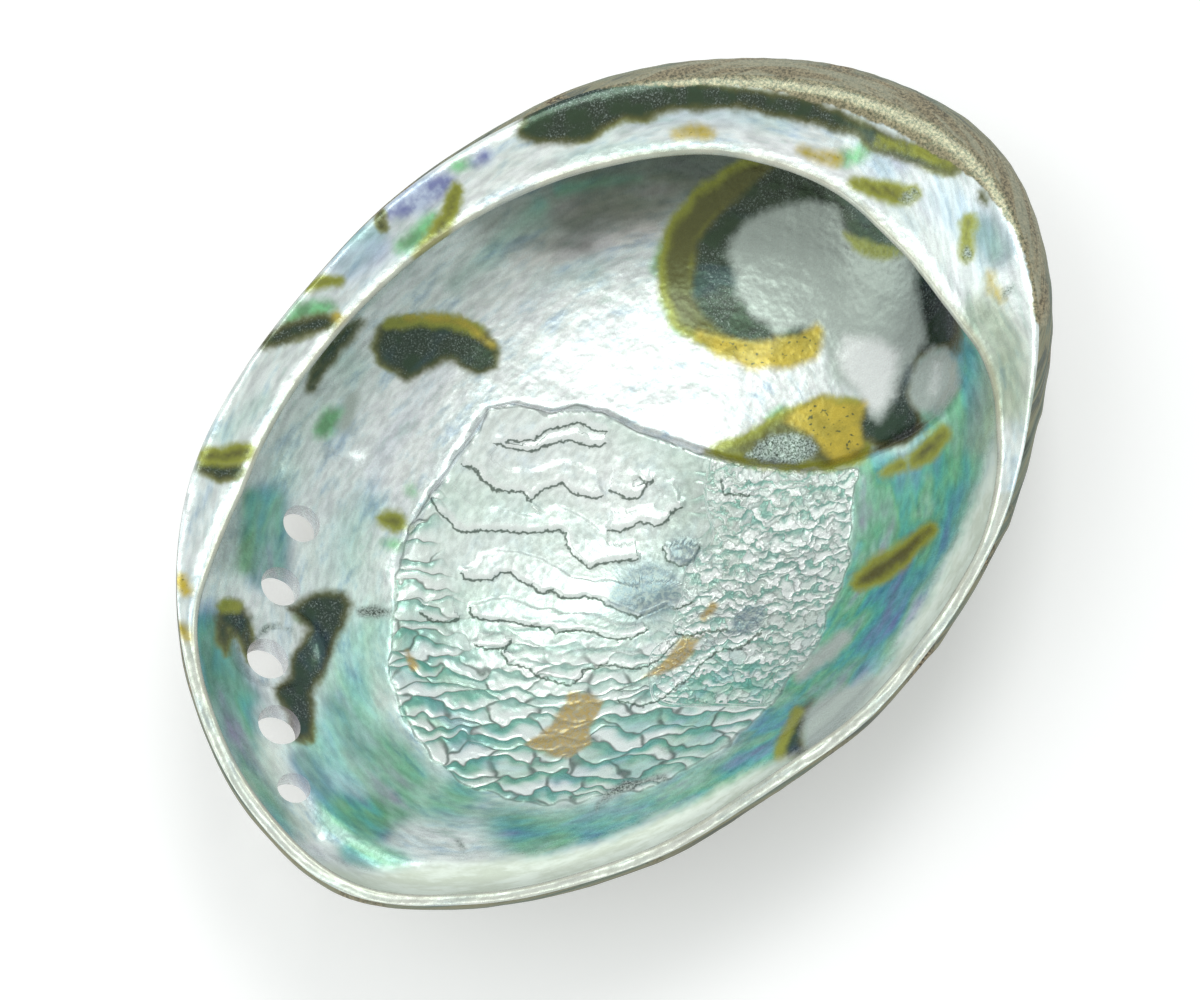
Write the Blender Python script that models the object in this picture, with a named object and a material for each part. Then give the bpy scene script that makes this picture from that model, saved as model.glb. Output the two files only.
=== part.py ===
# Abalone shell lying on its convex back, with the nacre bowl open upwards.
# The shell is one closed wall, worked out as meridians: each runs from the middle of the bowl
# out over the floor, round the recess, over the rolled margin plate and down the outside.
# Sizes are in millimetres, bearings in degrees anticlockwise from +X about the bowl's pole.
# +X is the spire end, +Y the plate side, +Z up. The origin is under the middle of the shell.

import bpy
import numpy as np
from mathutils import Vector

NAME = "abalone_shell"
MM = 0.001

# Plan
POLE = np.array([-10.8, -12.2])
REST_POINT = np.array([10.0, 2.0])
REST_FLAT = 0.55
MARGIN_RADIUS = [79.1, 79.2, 76.1, 73.0, 68.8, 65.8, 63.8, 64.3, 66.0, 66.7, 67.0, 66.7,
                 64.5, 56.3, 48.8, 43.7, 40.0, 38.8, 39.9, 41.9, 45.8, 51.9, 59.7, 70.4]
SPIRE_BEARING = 15
SPIRE_SPREAD = 27
SPIRE_BULGE = 7.0

# Heights and widths, as (bearing, size) pairs
MARGIN_HEIGHT = [(0, 31.5), (30, 31.5), (60, 32.5), (90, 33), (120, 33.8), (180, 33.7),
                 (210, 33.2), (300, 33), (330, 32.4)]
PLATE_WIDTH = [(0, 16.2), (5, 16), (12, 13.5), (20, 12), (30, 10.1), (45, 10.4), (60, 8.8),
               (75, 7.8), (90, 6.6), (105, 6.8), (120, 7.3), (128, 5.6), (134, 3.7),
               (138, 2.2), (145, 1.6), (312, 1.6), (325, 3), (335, 5.5), (342, 8.5), (350, 13),
               (355, 15.4)]
EDGE_DROP = [(0, 5), (5, 5), (15, 4.3), (30, 3.3), (60, 2.9), (90, 3), (105, 2.8),
             (120, 2.2), (134, 0.9), (145, 0.3), (312, 0.3), (325, 1.1), (335, 2.2), (345, 4),
             (350, 4.8)]
OVERHANG = [(0, 8), (5, 11), (12, 13.5), (30, 12.5), (45, 11), (60, 8), (75, 6.5), (90, 5),
            (105, 5), (120, 4), (130, 1.5), (138, 0.3), (150, 0), (344, 0), (349, 1), (354, 4)]
RECESS_DROP = [(0, 7), (6, 8), (12, 9), (30, 10), (60, 11), (90, 11), (120, 8), (140, 3),
               (150, 2), (344, 2), (350, 4)]
EQUATOR_DROP = [(0, 9), (60, 9), (100, 8.5), (130, 6), (150, 3), (170, 1.2), (310, 1.2),
                (330, 3), (345, 7)]
EDGE_THICKNESS = 1.2
NOSE_SHIFT = 0.3
LIP_DROP = 2.0
LIP_STANDOUT = 0.5
PLATE_STANDOUT = 1.2

# Floor and back
FLOOR_HEIGHT = 5.0
HOLLOW_HEIGHT = [(0, 6), (20, 4.7), (90, 4.7), (150, 5), (330, 5), (345, 6.3)]
WALL_MIDDLE = 2.6
WALL_RIM = 4.2
LIP_STEEPNESS = 0.90
RECESS_STEEPNESS = 0.998
LIP_POWER = 2.0
RECESS_POWER = 4.0
BACK_POWER = 3.0
RECESS_SHARE = [(0, 1), (85, 1), (125, 0), (330, 0), (350, 1)]

# The step from the bowl down into the hollow under the spire, in plan about the pole:
# it starts off the margin, follows the top of the muscle scar, then the ridge out to the spire
HOLLOW_RIDGE = [(-64, 76), (-24, 28.6), (-14.3, 33.5), (-3.1, 35.6), (2.5, 36.4),
                (7.9, 37.2), (11.3, 34.9), (14, 30), (19.3, 23.9), (20.8, 17.4), (23.3, 10.9),
                (25.2, 4.9), (28.3, -0.5), (31.4, -6.1), (35, -9.4), (39.6, -13), (45, -16.4),
                (49.7, -18.1), (54.2, -17.6), (58.7, -14.6), (63, -12.5), (100, -12)]
RIDGE_WIDTH = 1.1
RIDGE_START_WIDTH = 11.0
RIDGE_HEIGHT = 0.7

# Outline of the muscle scar and its terrace fronts, in plan about the pole, higher on the left
SCAR_OUTLINE = [(-14, 33.5), (-24, 28.6), (-34, 20.4), (-38.5, 11.8), (-39.6, 0.7), (-33.3, -10),
                (-24.1, -18.2), (-12.9, -23.3), (0.9, -25.7), (13, -24.5), (24.3, -20.4),
                (33.3, -14.8)]
SCAR_FRONTS = [
    [(16, 20), (12, 25), (6, 30), (6, 34)],
    [(16, 20), (9, 15.5), (6.5, 18.5), (4, 22.5), (-1, 28), (-1, 33), (-1, 37)],
    [(15, 11), (11, 12), (9, 15.5)],
    [(4.5, 4.5), (-1.5, 9), (0.5, 15.5), (-6, 23.5), (-9.5, 28), (-8, 35.5)],
    [(15, 4.5), (11, 5.5), (5, 10.5)],
    [(4, -6.5), (-1, -2.5), (-4, 4), (-8, 10), (-10, 16.5), (-14.3, 22)],
    [(-3.5, -4), (-8, -0.7), (-12.5, 6.5), (-18, 17)],
    [(-2, -8.5), (-9.5, -6), (-14, -0.7), (-17.5, -0.7), (-20.5, 9)],
    [(6, -14.7), (-1, -8)],
    [(8, -17.5), (1.5, -14.5), (-12.5, -11.4), (-15, -7)],
]
TERRACE_HEIGHT = 0.5
TERRACE_LENGTH = 4.5
TERRACE_EDGE = 0.3

# Breathing holes: plan places about the pole, from the oldest open one to the newest
HOLES = [(-25.7, 45.3), (-35.5, 40.1), (-45.3, 33.5), (-51.8, 25.1), (-57.7, 16.8)]
HOLE_DIAMETERS = [5.6, 6.0, 6.2, 6.2, 4.6]
HOLE_SLOPE = 16
SEALED_PITS = [(-61.6, 9.2), (-12, 49)]
PIT_DEPTH = 1.0
PIT_RADIUS = 2.6
RIM_HEIGHT = 1.1
RIM_RADIUS = 3.9
NACRE_RING = (-43.8, 33.4)
NACRE_RING_RADIUS = 6.5
NACRE_RING_HEIGHT = 0.6

# Outside: hole row, knobs of the sealed holes, spire and growth ledges
APEX = np.array([58.0, 20.0])
ROW_PATH = [(-63, 4), (-57.7, 16.8), (-51.8, 25.1), (-45.3, 33.5), (-35.5, 40.1),
            (-25.7, 45.3), (-12, 50), (2, 52.5), (16, 53.5), (30, 52), (43, 47.5), (54, 40.5),
            (62, 31), (64, 22), (58, 20)]
ROW_HEIGHT = 1.3
ROW_WIDTH = 3.6
KNOB_SPACINGS = 12
KNOB_HEIGHT = 1.4
SUTURE_DEPTH = 0.9
SUTURE_WIDTH = 1.3
SUTURE_RADIUS = 21.0
SUTURE_GROWTH = 0.16
SPIRE_HEIGHT = 1.6
SPIRE_RADIUS = 9.0
LEDGE_COUNT = 11
LEDGE_HEIGHT = 0.8

# Mesh
COLUMNS = 240
FLOOR_ROWS = 62
CEILING_ROWS = 9
NOSE_ROWS = 6
PLATE_ROWS = 9
SIDE_ROWS = 10
BACK_ROWS = 46
TRIANGLES = 8200

# Surface
BASE_COLOR = (0.62, 0.70, 0.66, 1)
ROUGHNESS = 0.28


def around(bearing, pairs, softness=3.0):
    """Size at each bearing: straight runs between the pairs, rounded over a few degrees."""
    stations, sizes = np.array(sorted(pairs), float).T
    total = 0
    steps = np.linspace(-1.5, 1.5, 7)
    for step in steps:
        total = total + np.interp(bearing + step * softness, stations, sizes, period=360)
    return total / len(steps)


def ring(bearing, sizes):
    """Periodic cubic curve through equally spaced sizes."""
    sizes = np.asarray(sizes, float)
    place = np.mod(bearing, 360) / 360 * len(sizes)
    low = np.floor(place).astype(int)
    u = place - low
    a, b, c, d = (sizes[(low + step) % len(sizes)] for step in (-1, 0, 1, 2))
    return b + 0.5 * u * (c - a + u * (2 * a - 5 * b + 4 * c - d + u * (3 * (b - c) + d - a)))


def rise(share, steepness, power):
    """Bowl profile from 0 in the middle to 1 at the rim; steepness 1 ends upright."""
    share = np.clip(share, 0, 1)
    return (1 - np.sqrt(1 - steepness * share**power)) / (1 - np.sqrt(1 - steepness))


def smooth(u):
    u = np.clip(u, 0, 1)
    return u * u * (3 - 2 * u)


def mix(a, b, share):
    return a + (b - a) * share


def path_distance(x, y, points):
    """Distance to a path in plan, how far along it in steps, and the side (left is positive)."""
    nearest = np.full(np.shape(x), 1e9)
    along = np.zeros(np.shape(x))
    side = np.zeros(np.shape(x))
    for index in range(len(points) - 1):
        ax, ay = points[index]
        dx, dy = points[index + 1][0] - ax, points[index + 1][1] - ay
        u = np.clip(((x - ax) * dx + (y - ay) * dy) / (dx * dx + dy * dy), 0, 1)
        gap = np.hypot(x - ax - u * dx, y - ay - u * dy)
        closer = gap < nearest
        nearest = np.where(closer, gap, nearest)
        along = np.where(closer, index + u, along)
        side = np.where(closer, np.sign(dx * (y - ay) - dy * (x - ax)), side)
    return nearest, along, side


def meridian_sizes(bearing):
    """Every size of the meridians at the given bearings."""
    margin = ring(bearing, MARGIN_RADIUS)
    margin_height = around(bearing, MARGIN_HEIGHT, 8)
    edge = margin - around(bearing, PLATE_WIDTH, 2)
    spire = np.exp(-0.5 * ((np.mod(bearing - SPIRE_BEARING + 180, 360) - 180) / SPIRE_SPREAD)**2)
    recess_share = around(bearing, RECESS_SHARE, 6)
    standout = mix(LIP_STANDOUT, PLATE_STANDOUT, recess_share)
    edge_height = margin_height - around(bearing, EDGE_DROP, 2)
    return {
        "margin": margin,
        "margin_height": margin_height,
        "edge": edge,
        "edge_height": edge_height,
        "recess": edge + around(bearing, OVERHANG, 2),
        "recess_height": edge_height - around(bearing, RECESS_DROP, 2),
        "recess_share": recess_share,
        "equator": margin + standout + SPIRE_BULGE * spire,
        "equator_height": margin_height - around(bearing, EQUATOR_DROP, 6),
        "hollow_height": around(bearing, HOLLOW_HEIGHT, 6),
    }


def back_height(x, y):
    """Height of the back under points in plan, and their share of the way out to its rim."""
    bearing = np.arange(0, 360, 3)
    sizes = meridian_sizes(bearing)
    rest = REST_POINT - POLE
    rim_x = sizes["equator"] * np.cos(np.radians(bearing)) - rest[0]
    rim_y = sizes["equator"] * np.sin(np.radians(bearing)) - rest[1]
    rim_turn = np.degrees(np.arctan2(rim_y, rim_x)) % 360
    turn = np.degrees(np.arctan2(y - rest[1], x - rest[0])) % 360
    reach = np.interp(turn, rim_turn, np.hypot(rim_x, rim_y), period=360)
    height = np.interp(turn, rim_turn, sizes["equator_height"], period=360)
    recess_share = np.interp(turn, rim_turn, sizes["recess_share"], period=360)
    share = np.hypot(x - rest[0], y - rest[1]) / reach
    steepness = mix(LIP_STEEPNESS, RECESS_STEEPNESS, recess_share)
    power = mix(LIP_POWER, BACK_POWER, recess_share)
    return height * rise(share, steepness, power), share


def floor_height(radius, x, y, sizes):
    """Floor of the bowl, stepping down over the ridge into the hollow under the spire.

    Where the floor would come too near the back it is lifted, so the wall keeps its thickness.
    """
    bowl_top = sizes["edge_height"] - LIP_DROP
    bowl_share = rise(radius / sizes["edge"], LIP_STEEPNESS, LIP_POWER)
    bowl = mix(FLOOR_HEIGHT, bowl_top, bowl_share)
    steepness = mix(LIP_STEEPNESS, RECESS_STEEPNESS, sizes["recess_share"])
    power = mix(LIP_POWER, RECESS_POWER, sizes["recess_share"])
    hollow_share = rise(radius / sizes["recess"], steepness, power)
    hollow = mix(sizes["hollow_height"], sizes["recess_height"], hollow_share)
    gap, along, side = path_distance(x, y, HOLLOW_RIDGE)
    width = mix(RIDGE_START_WIDTH, RIDGE_WIDTH, smooth((along - 0.4) / 1.6))
    inside = smooth(0.5 + gap * side / width / 2)
    bead = RIDGE_HEIGHT * np.exp(-(gap / RIDGE_WIDTH)**2) * smooth((along - 1) / 3)
    floor = mix(bowl, hollow, inside) + bead * (radius < sizes["recess"] - 1)
    back, share = back_height(x, y)
    least = back + WALL_MIDDLE + (WALL_RIM - WALL_MIDDLE) * share**2
    lifted = 0.5 * (floor + least + np.sqrt((floor - least)**2 + 0.5))
    return mix(lifted, floor, smooth((radius / sizes["recess"] - 0.86) / 0.12))


def inner_relief(x, y):
    """Terraces of the muscle scar, sealed pits and the nacre ring, along the surface normal."""
    relief = np.zeros(np.shape(x))
    for front in [SCAR_OUTLINE] + SCAR_FRONTS:
        gap, along, side = path_distance(x, y, front)
        ends = smooth(along * 2) * smooth((len(front) - 1 - along) * 2)
        signed = gap * side
        step = smooth(0.5 + signed / TERRACE_EDGE / 2) * np.exp(-np.abs(signed) / TERRACE_LENGTH)
        relief += TERRACE_HEIGHT * step * ends
    for pit in SEALED_PITS:
        gap = np.hypot(x - pit[0], y - pit[1])
        relief -= PIT_DEPTH * np.exp(-(gap / PIT_RADIUS)**2)
    gap = np.hypot(x - NACRE_RING[0], y - NACRE_RING[1])
    relief += NACRE_RING_HEIGHT * np.exp(-((gap - NACRE_RING_RADIUS) / 1.0)**2)
    return relief


def outer_relief(x, y, equator):
    """Hole row, knobs, rims, spire and growth ledges on the back, along the outward normal."""
    gap, along, side = path_distance(x, y, ROW_PATH)
    fade = smooth(along / 1.5) * smooth((len(ROW_PATH) - 1 - along) / 2)
    relief = ROW_HEIGHT * np.exp(-(gap / ROW_WIDTH)**2) * fade
    older = smooth(along - len(HOLES) - 0.3)
    knob = 0.5 + 0.5 * np.cos(2 * np.pi * along * KNOB_SPACINGS / (len(ROW_PATH) - 1))
    relief += KNOB_HEIGHT * older * knob**2 * np.exp(-(gap / 2.2)**2) * fade
    for place in HOLES:
        rim = np.hypot(x - place[0], y - place[1]) - RIM_RADIUS
        relief += RIM_HEIGHT * np.exp(-(rim / 1.0)**2)
    out_x, out_y = x - APEX[0], y - APEX[1]
    reach = np.hypot(out_x, out_y)
    turn = np.arctan2(out_y, out_x)
    coil = np.log(np.maximum(reach, 0.1) / SUTURE_RADIUS) / SUTURE_GROWTH / (2 * np.pi)
    phase = np.mod(coil - turn / (2 * np.pi) + 0.5, 1) - 0.5
    suture = phase * 2 * np.pi * SUTURE_GROWTH * reach
    coiled = smooth((SUTURE_RADIUS - reach) / 4) * smooth(reach / 3)
    relief -= SUTURE_DEPTH * np.exp(-(suture / SUTURE_WIDTH)**2) * coiled
    relief += SPIRE_HEIGHT * np.exp(-(reach / SPIRE_RADIUS)**2)
    stage = (reach / (reach + equator)) * LEDGE_COUNT
    ledge = np.mod(stage, 1)
    relief += LEDGE_HEIGHT * ledge**3 * smooth((1 - ledge) * 8) * smooth((reach - 12) / 10)
    return relief


def floor_rows(bearing, sizes):
    """Floor from the pole to the widest of the recess, closer rows towards the rim."""
    share = np.linspace(0, 1, FLOOR_ROWS)**0.9
    radius = sizes["recess"] * share[:, None]
    turn = np.radians(bearing)
    x, y = radius * np.cos(turn), radius * np.sin(turn)
    return radius, floor_height(radius, x, y, sizes)


def ceiling_rows(sizes, start_height):
    """Underside of the plate: a curve from the widest of the recess to the free edge."""
    u = np.linspace(0, 1, CEILING_ROWS + 1)[1:, None]
    end_height = sizes["edge_height"] - EDGE_THICKNESS
    reach = sizes["recess"] - sizes["edge"]
    far, near = sizes["recess"], sizes["edge"] + NOSE_SHIFT
    over = mix(near, far, 0.55)
    up = mix(start_height, end_height, 0.6)
    back = end_height + 0.12 * reach
    radius = (1 - u)**2 * (1 + 2 * u) * far + 3 * u**2 * (1 - u) * over + u**3 * near
    height = (1 - u)**3 * start_height + 3 * u * (1 - u)**2 * up
    height = height + 3 * u**2 * (1 - u) * back + u**3 * end_height
    return radius, height


def nose_rows(sizes):
    """Rounded free edge, half a circle of the edge's thickness."""
    turn = np.linspace(-90, 90, NOSE_ROWS + 2)[1:-1, None]
    half = EDGE_THICKNESS / 2
    radius = sizes["edge"] + NOSE_SHIFT - half * np.cos(np.radians(turn))
    return radius, sizes["edge_height"] - half + half * np.sin(np.radians(turn))


def plate_rows(sizes):
    """Top of the plate, slightly dished, from the free edge out to the margin."""
    u = np.linspace(0, 1, PLATE_ROWS)[:, None]
    dished = smooth(u)**1.15
    radius = mix(sizes["edge"] + NOSE_SHIFT, sizes["margin"], u)
    return radius, mix(sizes["edge_height"], sizes["margin_height"], dished)


def side_rows(sizes):
    """Quarter ellipse from the margin down to the widest line of the outside."""
    turn = np.radians(np.linspace(0, 90, SIDE_ROWS + 1)[1:, None])
    radius = mix(sizes["margin"], sizes["equator"], np.sin(turn))
    return radius, mix(sizes["equator_height"], sizes["margin_height"], np.cos(turn))


def back_rows(bearing, sizes):
    """Convex back from the widest line to the resting patch, as x, y and height."""
    share = np.linspace(1, 0, BACK_ROWS + 1)[1:, None]
    turn = np.radians(bearing)
    rest = REST_POINT - POLE
    x = mix(rest[0], sizes["equator"] * np.cos(turn), share)
    y = mix(rest[1], sizes["equator"] * np.sin(turn), share)
    steepness = mix(LIP_STEEPNESS, RECESS_STEEPNESS, sizes["recess_share"])
    power = mix(LIP_POWER, BACK_POWER, sizes["recess_share"])
    height = sizes["equator_height"] * rise(share, steepness, power)
    return x, y, height


def surface_normals(grid):
    """Outward unit normals of a grid of points that closes round its columns."""
    across = np.roll(grid, -1, axis=1) - np.roll(grid, 1, axis=1)
    down = np.gradient(grid, axis=0)
    normal = np.cross(down, across)
    return normal / np.maximum(np.linalg.norm(normal, axis=2, keepdims=True), 1e-9)


def shell_grid():
    """Points of all meridians about the pole, with the relief laid on along the normals."""
    bearing = np.arange(COLUMNS) * 360 / COLUMNS
    turn = np.radians(bearing)
    sizes = meridian_sizes(bearing)
    floor = floor_rows(bearing, sizes)
    parts = [floor, ceiling_rows(sizes, floor[1][-1]), nose_rows(sizes), plate_rows(sizes),
             side_rows(sizes)]
    radius = np.vstack([part[0] for part in parts])
    height = np.vstack([part[1] for part in parts])
    back_x, back_y, back_height = back_rows(bearing, sizes)
    x = np.vstack([radius * np.cos(turn), back_x])
    y = np.vstack([radius * np.sin(turn), back_y])
    grid = np.dstack([x, y, np.vstack([height, back_height])])
    normals = surface_normals(grid)
    inner = np.zeros(x.shape)
    inner[:FLOOR_ROWS] = inner_relief(x[:FLOOR_ROWS], y[:FLOOR_ROWS])
    inner[:2] = inner[:2].mean()
    outer = np.zeros(x.shape)
    first = len(x) - SIDE_ROWS - BACK_ROWS
    outer[first:] = outer_relief(x[first:], y[first:], sizes["equator"])
    settle = smooth(np.arange(SIDE_ROWS + BACK_ROWS) / SIDE_ROWS)[:, None]
    outer[first:] *= settle * smooth((grid[first:, :, 2] - 1.2) / 2)
    grid = grid + normals * (inner + outer)[:, :, None]
    grid[first:, :, 2] = np.maximum(grid[first:, :, 2] - REST_FLAT, 0)
    grid[:first, :, 2] -= REST_FLAT
    return grid + np.array([POLE[0], POLE[1], 0])


def shell_mesh(grid):
    """Closed mesh of the grid: quads between the meridians, a fan at each pole."""
    rows, columns = grid.shape[:2]
    points = grid[1:-1].reshape(-1, 3)
    inner_pole, outer_pole = grid[0].mean(axis=0), grid[-1].mean(axis=0)
    points = np.vstack([points, inner_pole, outer_pole]) * MM
    index = np.arange((rows - 2) * columns).reshape(rows - 2, columns)
    after = np.roll(index, -1, axis=1)
    quads = np.stack([index[:-1], index[1:], after[1:], after[:-1]], axis=2).reshape(-1, 4)
    inner, outer = len(points) - 2, len(points) - 1
    first = [(inner, int(a), int(b)) for a, b in zip(index[0], after[0])]
    last = [(outer, int(b), int(a)) for a, b in zip(index[-1], after[-1])]
    mesh = bpy.data.meshes.new(NAME)
    mesh.from_pydata(points.tolist(), [], quads.tolist() + first + last)
    mesh.validate()
    return mesh


def shell_material():
    material = bpy.data.materials.new("nacre")
    material.use_nodes = True
    shader = material.node_tree.nodes["Principled BSDF"]
    shader.inputs["Base Color"].default_value = BASE_COLOR
    shader.inputs["Roughness"].default_value = ROUGHNESS
    shader.inputs["Metallic"].default_value = 0.0
    return material


def hole_cutter(number, place, diameter, collection):
    """Cylinder through the wall, at right angles to the sloping side of the bowl."""
    bearing = np.degrees(np.arctan2(place[1], place[0]))
    sizes = meridian_sizes(np.array([bearing]))
    radius = np.hypot(*place)
    height = floor_height(np.array([radius]), place[0], place[1], sizes)[0] - 2
    outward = Vector((place[0], place[1], 0)).normalized()
    slope = np.radians(HOLE_SLOPE)
    axis = outward * np.sin(slope) - Vector((0, 0, 1)) * np.cos(slope)
    centre = Vector((POLE[0] + place[0], POLE[1] + place[1], height)) * MM
    bpy.ops.mesh.primitive_cylinder_add(vertices=20, radius=diameter / 2 * MM, depth=14 * MM)
    cutter = bpy.context.active_object
    cutter.name = f"hole_cutter_{number}"
    cutter.location = centre
    cutter.rotation_euler = axis.to_track_quat("Z", "Y").to_euler()
    cutter.hide_render = True
    cutter.display_type = "WIRE"
    for owner in list(cutter.users_collection):
        owner.objects.unlink(cutter)
    collection.objects.link(cutter)
    return cutter


def build():
    for leftover in list(bpy.data.objects):
        bpy.data.objects.remove(leftover, do_unlink=True)
    parts = bpy.data.collections.new(NAME)
    cutters = bpy.data.collections.new("cutters")
    bpy.context.scene.collection.children.link(parts)
    bpy.context.scene.collection.children.link(cutters)

    shell = bpy.data.objects.new(NAME, shell_mesh(shell_grid()))
    shell.data.materials.append(shell_material())
    parts.objects.link(shell)
    whole = len(shell.data.polygons) * 2
    decimate = shell.modifiers.new("facets", "DECIMATE")
    decimate.ratio = TRIANGLES / whole
    decimate.use_collapse_triangulate = True

    for number, (place, diameter) in enumerate(zip(HOLES, HOLE_DIAMETERS), start=1):
        cut = shell.modifiers.new(f"hole_{number}", "BOOLEAN")
        cut.operation = "DIFFERENCE"
        cut.solver = "EXACT"
        cut.object = hole_cutter(number, place, diameter, cutters)


build()
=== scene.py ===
import math
import bpy
import numpy as np
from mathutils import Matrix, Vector


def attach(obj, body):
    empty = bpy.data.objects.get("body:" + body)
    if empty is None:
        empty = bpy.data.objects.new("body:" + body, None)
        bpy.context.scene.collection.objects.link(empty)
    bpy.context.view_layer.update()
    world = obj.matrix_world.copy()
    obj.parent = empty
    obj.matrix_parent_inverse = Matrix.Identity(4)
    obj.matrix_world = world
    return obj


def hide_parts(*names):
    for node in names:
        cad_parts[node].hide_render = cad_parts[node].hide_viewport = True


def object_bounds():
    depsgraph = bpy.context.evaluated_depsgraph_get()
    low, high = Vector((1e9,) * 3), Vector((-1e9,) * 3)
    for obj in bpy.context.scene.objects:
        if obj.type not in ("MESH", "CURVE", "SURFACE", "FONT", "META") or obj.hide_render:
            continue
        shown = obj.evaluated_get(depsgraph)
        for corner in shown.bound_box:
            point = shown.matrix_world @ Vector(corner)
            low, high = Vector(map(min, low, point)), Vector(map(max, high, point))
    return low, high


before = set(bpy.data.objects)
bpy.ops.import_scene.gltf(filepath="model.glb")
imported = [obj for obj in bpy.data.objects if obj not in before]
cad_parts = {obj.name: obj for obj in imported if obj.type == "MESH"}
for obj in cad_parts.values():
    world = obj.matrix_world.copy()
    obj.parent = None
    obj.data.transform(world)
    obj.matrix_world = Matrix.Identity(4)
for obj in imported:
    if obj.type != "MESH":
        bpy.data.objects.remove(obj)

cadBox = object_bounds()
print("stage: frame loaded")

# The shell lies on its back with the nacre bowl up. Its form is worked out in millimetres,
# in polar form about the bowl's pole: bearings are degrees anticlockwise from +X.
# Marks are placed by pixels of the 1200 x 1000 view, through the same camera that renders it.
mm = 0.001

camera = {
    "azimuth": -50,              # degrees, where the camera stands round the shell
    "elevation": 72,
    "distance": 424.0,
    "target": (-5.4, 0.3, 18.4),
    "lens": 85.0,
    "sensor": 36.0,
    "imageSize": (1200, 1000),
}


# Numbers and fields


def smooth(u):                                   # three u squared minus two u cubed, clamped
    u = np.clip(u, 0, 1)
    return u * u * (3 - 2 * u)


def mix(a, b, share):                            # a plus the share of the way from a to b
    return a + (b - a) * share


def bell(distance, width):                       # e to the minus square of distance over width
    return np.exp(-(distance / width)**2)


def around(bearing, pairs, softness=3.0):
    # straight runs between (bearing, size) pairs, averaged over a few degrees
    stations, sizes = np.array(sorted(pairs), float).T
    steps = np.linspace(-1.5, 1.5, 7)
    return sum(np.interp(bearing + step * softness, stations, sizes, period=360)
               for step in steps) / len(steps)


def ringCurve(bearing, sizes):
    # periodic cubic through equally spaced sizes
    sizes = np.asarray(sizes, float)
    place = np.mod(bearing, 360) / 360 * len(sizes)
    low = np.floor(place).astype(int)
    u = place - low
    a, b, c, d = (sizes[(low + step) % len(sizes)] for step in (-1, 0, 1, 2))
    return b + 0.5 * u * (c - a + u * (2 * a - 5 * b + 4 * c - d + u * (3 * (b - c) + d - a)))


def rise(share, steepness, power):
    # bowl profile: one minus the root of one minus steepness times share to the power, scaled to 1
    share = np.clip(share, 0, 1)
    return (1 - np.sqrt(1 - steepness * share**power)) / (1 - np.sqrt(1 - steepness))


def pathField(x, y, points):
    # distance to a path in plan, steps along it, and the side: left of its direction is positive
    nearest = np.full(np.shape(x), 1e9)
    along = np.zeros(np.shape(x))
    side = np.zeros(np.shape(x))
    for index in range(len(points) - 1):
        ax, ay = points[index][:2]
        dx, dy = points[index + 1][0] - ax, points[index + 1][1] - ay
        u = np.clip(((x - ax) * dx + (y - ay) * dy) / (dx * dx + dy * dy), 0, 1)
        gap = np.hypot(x - ax - u * dx, y - ay - u * dy)
        closer = gap < nearest
        nearest = np.where(closer, gap, nearest)
        along = np.where(closer, index + u, along)
        side = np.where(closer, np.sign(dx * (y - ay) - dy * (x - ax)), side)
    return nearest, along, side


def outlineField(x, y, outline):
    # distance to a closed outline, negative outside it: inside, a ray crosses it an odd number
    # of times
    closed = outline + outline[:1]
    gap, along, side = pathField(x, y, closed)
    inside = np.zeros(x.shape, bool)
    for (ax, ay), (bx, by) in zip(closed[:-1], closed[1:]):
        crosses = (ay > y) != (by > y)
        inside ^= crosses & (x < ax + (y - ay) * (bx - ax) / (by - ay + 1e-9))
    return np.where(inside, gap, -gap)


def valueNoise(x, y, size, seed):
    # random values on a square lattice of that size, eased between its corners, from -1 to 1
    u, v = x / size, y / size
    low, left = np.floor(u), np.floor(v)
    fu, fv = smooth(u - low), smooth(v - left)

    def corner(i, j):
        wave = np.sin(i * 127.1 + j * 311.7 + seed * 74.7) * 43758.5453
        return (wave - np.floor(wave)) * 2 - 1

    top = mix(corner(low, left), corner(low + 1, left), fu)
    bottom = mix(corner(low, left + 1), corner(low + 1, left + 1), fu)
    return mix(top, bottom, fv)


def layeredNoise(x, y, size, seed, layers=3):    # each layer half the size and half the height
    return sum(valueNoise(x, y, size / 2**k, seed + k) / 2**k for k in range(layers))


def cameraAxes():
    # the view's right, up and backward directions, from the azimuth and the elevation
    a, e = math.radians(camera["azimuth"]), math.radians(camera["elevation"])
    back = np.array([math.sin(a) * math.cos(e), -math.cos(a) * math.cos(e), math.sin(e)])
    right = np.array([math.cos(a), math.sin(a), 0.0])
    return right, np.cross(back, right), back


def toPixels(points):
    # perspective projection of points in millimetres into the 1200 x 1000 view
    right, up, back = cameraAxes()
    away = points - (np.array(camera["target"]) + back * camera["distance"])
    width, height = camera["imageSize"]
    scale = camera["lens"] / camera["sensor"] * width / -(away @ back)
    return width / 2 + (away @ right) * scale, height / 2 - (away @ up) * scale


# Meshes and objects


def readArray(items, key, width=1, kind=np.float32):
    # one property of all the items, one row for each where it has several numbers
    values = np.zeros(len(items) * width, kind)
    items.foreach_get(key, values)
    return values.reshape(-1, width) if width > 1 else values


def storeNumber(mesh, name, values):             # one number on each point of the mesh
    layer = mesh.attributes.new(name, "FLOAT", "POINT")
    layer.data.foreach_set("value", np.asarray(values, np.float32))


def storeVector(mesh, name, values):             # three numbers on each point of the mesh
    layer = mesh.attributes.new(name, "FLOAT_VECTOR", "POINT")
    layer.data.foreach_set("vector", np.asarray(values, np.float32).ravel())


def placeObject(name, data):
    # a new object of that mesh, light or camera, in the scene
    made = bpy.data.objects.new(name, data)
    bpy.context.scene.collection.objects.link(made)
    return made


# The shell's form

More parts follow.
